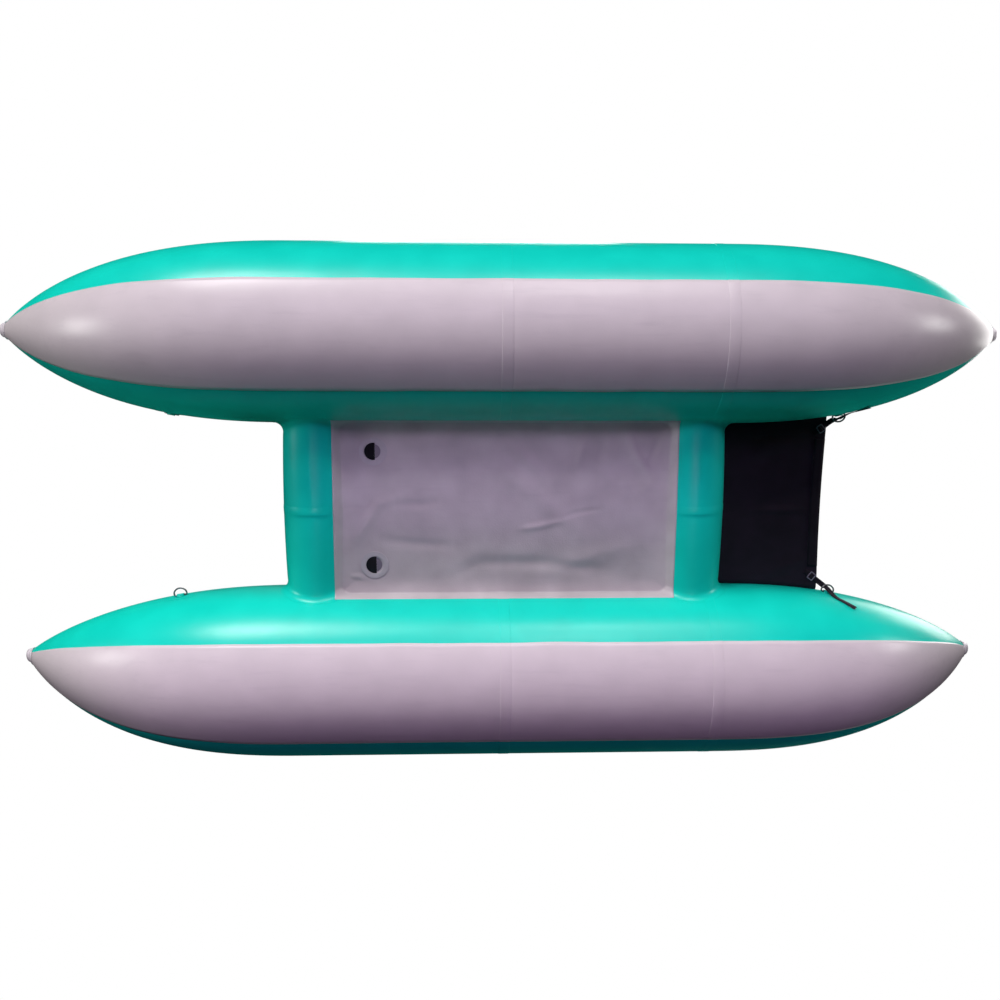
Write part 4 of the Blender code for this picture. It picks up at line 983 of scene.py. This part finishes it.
# Each stop: the strap's middle and the way of its width.
STRAP_STOPS = (
    ((-0.8292, 0.1920, 0.2591), LAP), ((-0.8428, 0.2025, 0.2591), LAP),
    ((-0.8468, 0.2055, 0.2551), LAP), ((-0.8491, 0.2073, 0.2551), LAP),
    ((-0.8531, 0.2104, 0.2591), LAP), ((-0.8735, 0.2261, 0.2591), LAP),
    ((-0.8856, 0.2357, 0.2457), (0.97, 0.25, -0.05)),
    ((-0.8863, 0.2358, 0.2337), (1.0, 0.03, -0.06)),
    ((-0.9000, 0.2521, 0.2044), (0.89, -0.06, -0.45)),
    ((-0.9200, 0.2613, 0.1856), (0.70, 0.05, -0.72)),
    ((-0.9420, 0.2720, 0.1644), (0.72, 0.16, -0.67)))
for name, side in SIDES.items():
    flip = Vector((1, side, 1))
    centres, widths = (smooth_stops([Vector(stop[k]) * flip for stop in STRAP_STOPS], 6)
                       for k in (0, 1))
    strap = add_ribbon(f"cargo_strap_webbing_{name}", centres, widths, STRAP_WIDTH, 0.0013,
                       webbing, [f"cargo_strap_{name}"], (0, 0, -1))

# %% [markdown]
# ## D-rings and their patches
#
# A patch of the same teal fabric is glued to each pontoon's inner flank, and a keeper
# sewn to it holds the straight bar of a steel D-ring. The ring is a closed curve with a
# round bevel, made a mesh. The bow rings swing on their own bodies, while the stern
# rings are held by the straps. The port bow ring rests folded up against the tube, where
# the photograph doesn't show it. The patch is a small grid with rounded corners, laid on
# the pontoon's shape and given its thickness by Solidify.

# %% The ring's wire
RING_PLACE = 0.8872
BAR_PLACE = (0.888, 0.24677, 0.23995)
BAR_LIFT = 0.0029
RING_WIRE = 0.0022
RING_HALF = 0.0175
RING_REACH = 0.0195
RING_CORNER = 0.0045
RING_FOLD = 80.0
PATCH_SIZE = (0.076, 0.052)
KEEPER_LOOP = 0.0040
KEEPER_FOOT = 0.0011
KEEPER_WIDTH = 0.020


def flank_axes(side, x):
    """Point under the ring's bar, direction along it, direction up and outward direction."""
    near, far = (hull_point(side, x + step, -90 * side) for step in (-1e-3, 1e-3))
    along = (far - near).normalized()
    out = along.cross(Vector((0, 0, 1))).normalized() * side
    bar = Vector((math.copysign(BAR_PLACE[0], x), side * BAR_PLACE[1], BAR_PLACE[2]))
    return bar - out * BAR_LIFT, along, out.cross(along), out


def bent_wire(name, points, radius, closed):
    """A round wire along a line of points, as a bmesh."""
    curve = bpy.data.curves.new(name, "CURVE")
    curve.dimensions = "3D"
    curve.bevel_depth = radius
    curve.bevel_resolution = 4
    curve.use_fill_caps = not closed
    spline = curve.splines.new("POLY")
    spline.points.add(len(points) - 1)
    for target, point in zip(spline.points, points):
        target.co = (*point, 1.0)
    spline.use_cyclic_u = closed
    holder = put_in_scene(name, curve)
    bpy.context.view_layer.update()
    bm = bmesh.new()
    bm.from_mesh(bpy.data.meshes.new_from_object(holder))
    bpy.data.objects.remove(holder)
    return bm


def add_ring(name, side, x, body, fold):
    """A D of wire whose bar lies on the flank; fold turns it up, in degrees."""
    base, along, up, out = flank_axes(side, x)
    base = base + out * BAR_LIFT
    out = out * math.cos(math.radians(fold)) + up * math.sin(math.radians(fold))
    flat, low = RING_HALF - RING_CORNER, RING_CORNER + 0.0004
    turns = np.linspace(0.35, math.pi / 2, 4)
    corner = [(flat + RING_CORNER * math.sin(a), RING_CORNER - RING_CORNER * math.cos(a))
              for a in turns]
    outline = [(-flat, 0.0), (flat, 0.0), *corner]
    outline += [(RING_HALF * math.cos(a), low + (RING_REACH - low) * math.sin(a))
                for a in np.linspace(0.06, math.pi - 0.06, 25)]
    outline += [(-u, v) for u, v in corner[::-1]]
    bm = bent_wire(name, [base + along * u + out * v for u, v in outline], RING_WIRE, True)
    finish_piece(bm, f"{name}_wire", steel, [name], body=body)


# %% D-rings, patches and keepers


def glued_pad(name, side, x, angle, size, corner, thickness, material, replaces=()):
    """A pad with rounded corners laid on a pontoon, angle degrees from its bottom."""
    lift = min(0.0003, thickness / 4)
    half_length, half_width = size[0] / 2, size[1] / 2
    bm = bmesh.new()
    bmesh.ops.create_grid(bm, x_segments=28, y_segments=18, size=1.0)
    for vert in bm.verts:
        u, v = vert.co.x * half_length, vert.co.y * half_width
        s = (abs(u) - half_length + corner) / corner
        t = (abs(v) - half_width + corner) / corner
        if s > 0 and t > 0:
            u = math.copysign(half_length - corner + corner * s * math.sqrt(1 - t * t / 2), u)
            v = math.copysign(half_width - corner + corner * t * math.sqrt(1 - s * s / 2), v)
        turn = angle - math.degrees(v / hull_radius(x + u))
        vert.co = hull_point(side, x + u, side * turn, lift)
    middle = hull_point(side, x, side * angle)
    out = middle - Vector((x, side * TRACK, hull_height(x)))
    pad = finish_piece(bm, name, material, replaces, outward=out)
    give_wall(pad, thickness, 1.0)
    soften(pad, thickness / 3, angle=50)


def add_keeper(name, side, x):
    """A short fabric loop over the ring's bar, glued down on both sides."""
    base, along, up, out = flank_axes(side, x)
    profile = [(-KEEPER_LOOP * math.cos(a), BAR_LIFT + KEEPER_LOOP * math.sin(a))
               for a in np.linspace(-0.2, math.pi + 0.2, 15)]
    profile = [(-0.013, KEEPER_FOOT), (-0.0058, KEEPER_FOOT), *profile,
               (0.0058, KEEPER_FOOT), (0.013, KEEPER_FOOT)]
    bm = bmesh.new()
    line = [bm.verts.new(base - along * KEEPER_WIDTH / 2 + up * w + out * h) for w, h in profile]
    edges = [bm.edges.new(pair) for pair in zip(line, line[1:])]
    made = bmesh.ops.extrude_edge_only(bm, edges=edges)
    shift_extruded(bm, made, along * KEEPER_WIDTH)
    keeper = finish_piece(bm, name, teal_fabric, sharp=60, outward=out)
    give_wall(keeper, 0.0009, 0.0)


for name, side, end, way in CORNERS:
    x = way * RING_PLACE
    body = f"ring_bow_{name}" if end == "bow" else "craft"
    fold = RING_FOLD if (name, end) == ("port", "bow") else 0.0
    add_ring(f"d_ring_{end}_{name}", side, x, body, fold)
    glued_pad(f"ring_patch_fabric_{end}_{name}", side, x, -90, PATCH_SIZE, 0.012, 0.0004,
              teal_fabric, [f"ring_patch_{end}_{name}"])
    add_keeper(f"ring_keeper_{end}_{name}", side, x)

# %% [markdown]
# ## Tip caps
#
# A light grey cap covers each tip, where the tube's panels meet. It is a blunt, moulded
# nub with a bead at its mouth and a slight neck. Its outline is spun about the
# pontoon's axis, lifted by the same rise as the tube, and Solidify gives it a wall.

# %% Four tip caps
CAP_OUTLINE = (  # along the pontoon, and out from its axis
    (1.3425, 0.0238), (1.3432, 0.0248), (1.3446, 0.0252), (1.3460, 0.0246), (1.3468, 0.0232),
    (1.3486, 0.0214), (1.3510, 0.0203), (1.3540, 0.0197), (1.3570, 0.0192), (1.3600, 0.0183),
    (1.3628, 0.0166), (1.3652, 0.0143), (1.3672, 0.0113), (1.3687, 0.0078), (1.3696, 0.0040),
    (1.36995, 0.0))
CAP_WALL = 0.0011
for name, side, end, way in CORNERS:
    bm = spin_profile([(way * x, r) for x, r in CAP_OUTLINE], "X", 48)
    place_on_pontoon(bm, side)
    cap = finish_piece(bm, f"tip_cap_nub_{end}_{name}", cap_plastic,
                       [f"tip_cap_{end}_{name}"], sharp=60)
    give_wall(cap, CAP_WALL, -1.0)

# %% [markdown]
# ## Drains
#
# Each drain is a moulded ring clamped round a hole in the floor. A web closes its stern
# half, and under the bow half hangs a rubber flap that water pushes open from above and
# shut from below. The web's deep grey is painted shade, and the flap's black also stands
# in for the shade seen up through the drain. The ring is a spun outline with rounded
# rims. The web and the flap start as full discs, cut along a straight line by a
# bisecting plane.

# %% Rings, webs and flaps
DRAIN_UNDER = 0.1923
DRAIN_TOP = 0.1968
FLAP_EDGE = -0.005
FLAP_Z = 0.19435
RIM_OUT, RIM_HOLE = 0.0370, 0.0195
WEB_RADIUS, FLAP_RADIUS = 0.0215, 0.0229


def rounded_profile(corners, radius, steps=4):
    """A closed outline of (radius, height) corners with each corner turned on an arc."""
    points = [Vector(c) for c in corners]
    line = []
    for before, corner, after in zip([points[-1], *points], points, [*points[1:], points[0]]):
        reach = min(radius, (before - corner).length / 2.2, (after - corner).length / 2.2)
        a = corner + (before - corner).normalized() * reach
        b = corner + (after - corner).normalized() * reach
        line += [a.lerp(corner, t).lerp(corner.lerp(b, t), t) for t in np.linspace(0, 1, steps)]
    return [tuple(p) for p in line]


def half_disc(radius, low, high, keep_bow, cut_at, rounding):
    """A flat disc cut along a line across it, with its rims bevelled."""
    bm = bmesh.new()
    bmesh.ops.create_circle(bm, cap_ends=True, radius=radius, segments=72)
    bmesh.ops.translate(bm, vec=(0, 0, low), verts=bm.verts)
    way = Vector((1, 0, 0)) if keep_bow else Vector((-1, 0, 0))
    bmesh.ops.bisect_plane(bm, geom=[*bm.verts, *bm.edges, *bm.faces], plane_co=(cut_at, 0, 0),
                           plane_no=way, clear_inner=True)
    made = bmesh.ops.extrude_face_region(bm, geom=bm.faces[:])
    shift_extruded(bm, made, (0, 0, high - low))
    rims = [e for e in bm.edges if abs(e.verts[0].co.z - e.verts[1].co.z) < 1e-6]
    bmesh.ops.bevel(bm, geom=rims, offset=rounding, affect="EDGES", segments=2, profile=0.5,
                    material=-1)
    return bm


for name, side in SIDES.items():
    ring = bmesh.new()
    add_turned(ring, rounded_profile((
        (0.0235, DRAIN_UNDER), (RIM_OUT, DRAIN_UNDER), (RIM_OUT, DRAIN_UNDER + 0.0015),
        (0.0255, DRAIN_UNDER + 0.0015), (0.0255, DRAIN_TOP - 0.0015),
        (RIM_OUT, DRAIN_TOP - 0.0015), (RIM_OUT, DRAIN_TOP), (RIM_HOLE, DRAIN_TOP),
        (RIM_HOLE, DRAIN_TOP - 0.0014), (0.0235, DRAIN_TOP - 0.0014)), 0.0006), Matrix(), 72)
    # The web's deep grey is painted shade, and the flap's black also stands in for the shade seen
    # up through the drain.
    web = half_disc(WEB_RADIUS, DRAIN_TOP - 0.00125, DRAIN_TOP - 0.00015, False, FLAP_EDGE, 0.0002)
    flap = half_disc(FLAP_RADIUS, FLAP_Z - 0.0007, FLAP_Z + 0.0007, True, FLAP_EDGE, 0.0003)
    for kind, bm, material, replaces, body, slot in (
            ("ring", ring, rim_plastic, [f"drain_grommet_{name}"], "craft", "light_grey_moulding"),
            ("web", web, deep_grey_and_shade_plastic, (), "craft", "light_grey_moulding"),
            ("flap_rubber", flap, rubber, [f"drain_flap_{name}"], f"flap_{name}",
             "black_rubber")):
        bmesh.ops.translate(bm, vec=(DRAIN[0], side * DRAIN[1], 0), verts=bm.verts)
        finish_piece(bm, f"drain_{kind}_{name}", material, replaces, body)

# %% [markdown]
# ## Carry handles
#
# Four moulded rubber handles sit on the crowns, two ahead and two astern, so that two or
# four people can lift the craft. Each has a base pad glued to the tube and an arched
# grip with cross ribs. The pad is laid on the tube like the ring patches. The grip is a
# ribbon along a smooth arch whose middle waves up and down by 0.4 mm for the ribs, and
# Solidify and a Bevel make it a full, soft-edged bar.

# %% Four carry handles
HANDLE_X = 0.6408
HANDLE_PAD = (0.14, 0.046)
GRIP_WIDTH, GRIP_THICKNESS = 0.026, 0.004
GRIP_STOPS = (  # along the craft from the grip's middle, and up from the tube
    (-0.0580, 0.0022), (-0.0545, 0.0200), (-0.0490, 0.0300), (-0.0390, 0.0365),
    (-0.0200, 0.0373), (0.0200, 0.0373), (0.0390, 0.0365), (0.0490, 0.0300),
    (0.0545, 0.0200), (0.0580, 0.0022))
RIB_HALF, RIB_PITCH, RIB_DEPTH = 0.034, 0.0068, 0.0004
for name, side, end, way in CORNERS:
    x = way * HANDLE_X
    glued_pad(f"handle_pad_{end}_{name}", side, x, 180, HANDLE_PAD, 0.0115, 0.003, rubber,
              [f"carry_handle_{end}_{name}"])
    foot = hull_point(side, x, 180)
    line = smooth_stops([foot + Vector((u, 0, z)) for u, z in GRIP_STOPS], 12)
    for point in line:
        u = point.x - x
        if abs(u) < RIB_HALF:
            point.z -= RIB_DEPTH * (1 - math.cos(math.tau * (u + RIB_HALF) / RIB_PITCH)) / 2
    grip = add_ribbon(f"handle_grip_{end}_{name}", line, [Vector((0, 1, 0))] * len(line),
                      GRIP_WIDTH, GRIP_THICKNESS, rubber, (), (0, 0, 1))
    soften(grip, 0.0012, 3, 50)

# %% [markdown]
# ## Air valves
#
# Each of the four air chambers has its own valve on the deck side: a flanged body with a
# hinged lid, and under the lid a spring that holds the stem shut. Pressing the stem lets
# air out. The turned parts are spun outlines with rounded edges. Flat parts such as the
# web in the mouth are outlines with holes, filled, extruded and bevelled. The flange's
# underside is pressed on to the tube's own shape. The spring is a coil of wire, as long
# as the CAD model's spring. The nut inside the tube stays as it is in the CAD model.

# %% Helpers for flat parts


def ring_loop(centre, radius, steps, start=0.0, stop=math.tau):
    """Points round a circle or an arc; a full circle doesn't repeat its first point."""
    ends = steps if stop - start > 6.28 else steps - 1
    return [(centre[0] + radius * math.cos(start + (stop - start) * k / ends),
             centre[1] + radius * math.sin(start + (stop - start) * k / ends))
            for k in range(steps)]


def cut_plate(bm, loops, low, high, place):
    """Fill a flat outline, its first loop, with the other loops as holes, and extrude it."""
    edges = []
    for loop in loops:
        verts = [bm.verts.new((u, v, low)) for u, v in loop]
        edges += [bm.edges.new(pair) for pair in zip(verts, verts[1:] + verts[:1])]
    flat = bmesh.ops.triangle_fill(bm, use_beauty=True, edges=edges, normal=(0, 0, 1))
    faces = [g for g in flat["geom"] if isinstance(g, bmesh.types.BMFace)]
    made = bmesh.ops.extrude_face_region(bm, geom=faces)
    top = shift_extruded(bm, made, (0, 0, high - low))
    linked = list({v for f in faces for v in f.verts} | set(top))
    bmesh.ops.transform(bm, matrix=place, verts=linked)


# %% A valve's body
HINGE_BACK, HINGE_RISE = 0.0195, 0.0106
FLANGE, SLEEVE, MOUTH = 0.021, 0.0157, 0.0125
FLANGE_UNDER = 0.0002
WEB_HOLE, WEB_HOLE_OUT, STEM_HOLE = 0.0036, 0.0078, 0.0027
EAR_RADIUS, EAR_WIDTH = 0.0026, 0.0024
SIDEWAYS = Matrix.Rotation(math.radians(90), 4, "X")


def hinge_place(crown):
    return Matrix.Translation(crown + Vector((-HINGE_BACK, 0, HINGE_RISE)))


def add_valve_body(name, crown, bent, radius):
    """Flange, sleeve, web and hinge ears; the flange lies on a tube bent across an axis."""
    spot = Matrix.Translation(crown)
    bm = bmesh.new()
    add_turned(bm, rounded_profile((
        (SLEEVE, -0.016), (SLEEVE, FLANGE_UNDER), (FLANGE, FLANGE_UNDER), (FLANGE, 0.0031),
        (SLEEVE, 0.0031), (SLEEVE, 0.0092), (MOUTH, 0.0092), (MOUTH, -0.013),
        (0.009, -0.013), (0.009, -0.016)), 0.0006), spot, 64)
    for vert in bm.verts:
        off = vert.co - crown
        if abs(off.z - FLANGE_UNDER) < 0.0007 and math.hypot(off.x, off.y) > SLEEVE + 0.0003:
            vert.co.z -= radius - math.sqrt(radius ** 2 - off[bent] ** 2)
    holes = [ring_loop((WEB_HOLE_OUT * math.cos(a), WEB_HOLE_OUT * math.sin(a)), WEB_HOLE, 16)
             for a in (0, math.tau / 3, 2 * math.tau / 3)]
    cut_plate(bm, [ring_loop((0, 0), MOUTH + 0.0002, 48), ring_loop((0, 0), STEM_HOLE, 16),
                   *holes], -0.009, -0.0065, spot)
    ear = [(-EAR_RADIUS, -0.0088),
           *[(-EAR_RADIUS * math.cos(a), EAR_RADIUS * math.sin(a))
             for a in np.linspace(0, math.pi, 9)], (EAR_RADIUS, -0.0088)]
    for low in (-0.0059, 0.0035):
        cut_plate(bm, [ear], low, low + EAR_WIDTH, hinge_place(crown) @ SIDEWAYS)
    piece = finish_piece(bm, f"valve_flange_{name}", dark_plastic, [f"valve_body_{name}"])
    soften(piece, 0.00025)


# %% A valve's lid


def add_valve_lid(name, crown):
    """A cap with a rim, an arm to its hinge barrel and a tab to lift it by."""
    hinge = hinge_place(crown)
    bm = bmesh.new()
    rim = rounded_profile((
        (0.0, -0.0011), (0.0163, -0.0011), (0.0163, 0.0011), (0.0122, 0.0011),
        (0.0112, 0.0007), (0.0, 0.0007)), 0.0005)[4:-4]
    add_turned(bm, [(0.0, -0.0011), *rim, (0.0, 0.0007)],
               hinge @ Matrix.Translation((HINGE_BACK, 0, 0)), 64, closed=False)
    arm = [(0.0012, -0.0027), (0.0052, -0.0027), (0.0052, 0.0027), (0.0012, 0.0027)]
    tab = [(0.0345, -0.004), (0.0395, -0.004), (0.0408, -0.0027), (0.0408, 0.0027),
           (0.0395, 0.004), (0.0345, 0.004)]
    cut_plate(bm, [arm], -0.0009, 0.0009, hinge)
    cut_plate(bm, [tab], -0.001, 0.001, hinge)
    add_turned(bm, [(0.0011, -0.0054), (0.0011, -0.003), (0.0021, -0.003), (0.0021, 0.003),
                    (0.0011, 0.003), (0.0011, 0.0054), (0.0002, 0.0054), (0.0002, -0.0054)],
               hinge @ SIDEWAYS, 20)
    piece = finish_piece(bm, f"valve_cover_{name}", dark_plastic, [f"valve_lid_{name}"],
                         body=f"lid_{name}")
    soften(piece, 0.0003)


# %% A valve's stem and spring
STEM_OUTLINE = (
    (0.0, -0.0185), (0.0110, -0.0185), (0.0115, -0.0180), (0.0115, -0.0163),
    (0.0022, -0.0163), (0.0022, 0.0018), (0.0056, 0.0018), (0.0060, 0.0022),
    (0.0060, 0.0036), (0.0055, 0.0040), (0.0, 0.0040))
SPRING_TURNS = 4
SPRING_WIRE = 0.0009
SPRING_RADIUS = 0.0044
DEAD_TURNS = 0.75


def add_valve_stem(name, crown):
    bm = bmesh.new()
    add_turned(bm, STEM_OUTLINE, Matrix.Translation(crown), 32, closed=False)
    finish_piece(bm, f"valve_plunger_{name}", white_plastic, [f"valve_stem_{name}"],
                 body=f"stem_{name}")


def add_valve_spring(name, crown):
    """A coil with flat ends, as long as the CAD model's spring."""
    low, high = (corner.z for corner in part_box(f"valve_spring_{name}"))
    turns = np.linspace(0, SPRING_TURNS, 24 * SPRING_TURNS + 1)
    rise = np.interp(turns, (DEAD_TURNS, SPRING_TURNS - DEAD_TURNS),
                     (low + SPRING_WIRE, high - SPRING_WIRE))
    coil = [Vector((crown.x + SPRING_RADIUS * math.cos(math.tau * turn),
                    crown.y + SPRING_RADIUS * math.sin(math.tau * turn), z))
            for turn, z in zip(turns, rise)]
    bm = bent_wire(f"valve_coil_{name}", coil, SPRING_WIRE / 2, False)
    spring = finish_piece(bm, f"valve_coil_{name}", steel, [f"valve_spring_{name}"])
    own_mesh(spring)


# %% Four valves
CROWN_Z, TUBE_TOP = CENTRE_Z + PONTOON_RADIUS, CENTRE_Z + TUBE_RADIUS

# Each valve: the top of its tube, the axis across which the tube is bent, and its radius.
VALVE_PLACES = {
    "port": (Vector((VALVE_X, TRACK, CROWN_Z)), 1, PONTOON_RADIUS),
    "starboard": (Vector((VALVE_X, -TRACK, CROWN_Z)), 1, PONTOON_RADIUS),
    "bow_tube": (Vector((TUBE_PLACES["bow"], TUBE_VALVE_Y, TUBE_TOP)), 0, TUBE_RADIUS),
    "stern_tube": (Vector((TUBE_PLACES["stern"], TUBE_VALVE_Y, TUBE_TOP)), 0, TUBE_RADIUS)}
for name, (crown, bent, radius) in VALVE_PLACES.items():
    add_valve_body(name, crown, bent, radius)
    add_valve_lid(name, crown)
    add_valve_stem(name, crown)
    add_valve_spring(name, crown)

# %% [markdown]
# ## Strap buckles and the pieces kept from the CAD model
#
# Each strap passes a small flat buckle with two slots, which lets it be pulled tight.
# The nuts of the valves stay as modelled in CAD and only get a material.

# %% Buckles and kept pieces
LOCK_CENTRE = Vector((-0.84796, 0.20643, 0.2571))
LOCK_FLAT = (0.0071, 0.0086)
LOCK_CORNER = 0.0024
SLOT_HALF_WIDTH, SLOT_HALF_LENGTH, SLOT_PLACE = 0.0025, 0.008, 0.004
for name, side in SIDES.items():
    turn = Matrix.Rotation(side * math.atan2(LAP[0], -LAP[1]), 4, "Z")
    place = Matrix.Translation(LOCK_CENTRE * Vector((1, side, 1)))
    outline = []
    for u, v, start in ((1, 1, 0), (-1, 1, 90), (-1, -1, 180), (1, -1, 270)):
        outline += ring_loop((u * LOCK_FLAT[0], v * LOCK_FLAT[1]), LOCK_CORNER, 5,
                             math.radians(start), math.radians(start + 90))
    slots = [[(m + u * SLOT_HALF_WIDTH, v * SLOT_HALF_LENGTH)
              for u, v in ((-1, -1), (1, -1), (1, 1), (-1, 1))]
             for m in (-SLOT_PLACE, SLOT_PLACE)]
    bm = bmesh.new()
    cut_plate(bm, [outline, *slots], -0.001, 0.001, place @ turn)
    buckle = finish_piece(bm, f"buckle_{name}", deep_grey_and_shade_plastic, [f"ladder_lock_{name}"])
    soften(buckle, 0.0004)
for name in VALVE_PLACES:
    nut = nodes[f"valve_nut_{name}"]
    nut.data.materials.clear()
    nut.data.materials.append(dark_plastic)
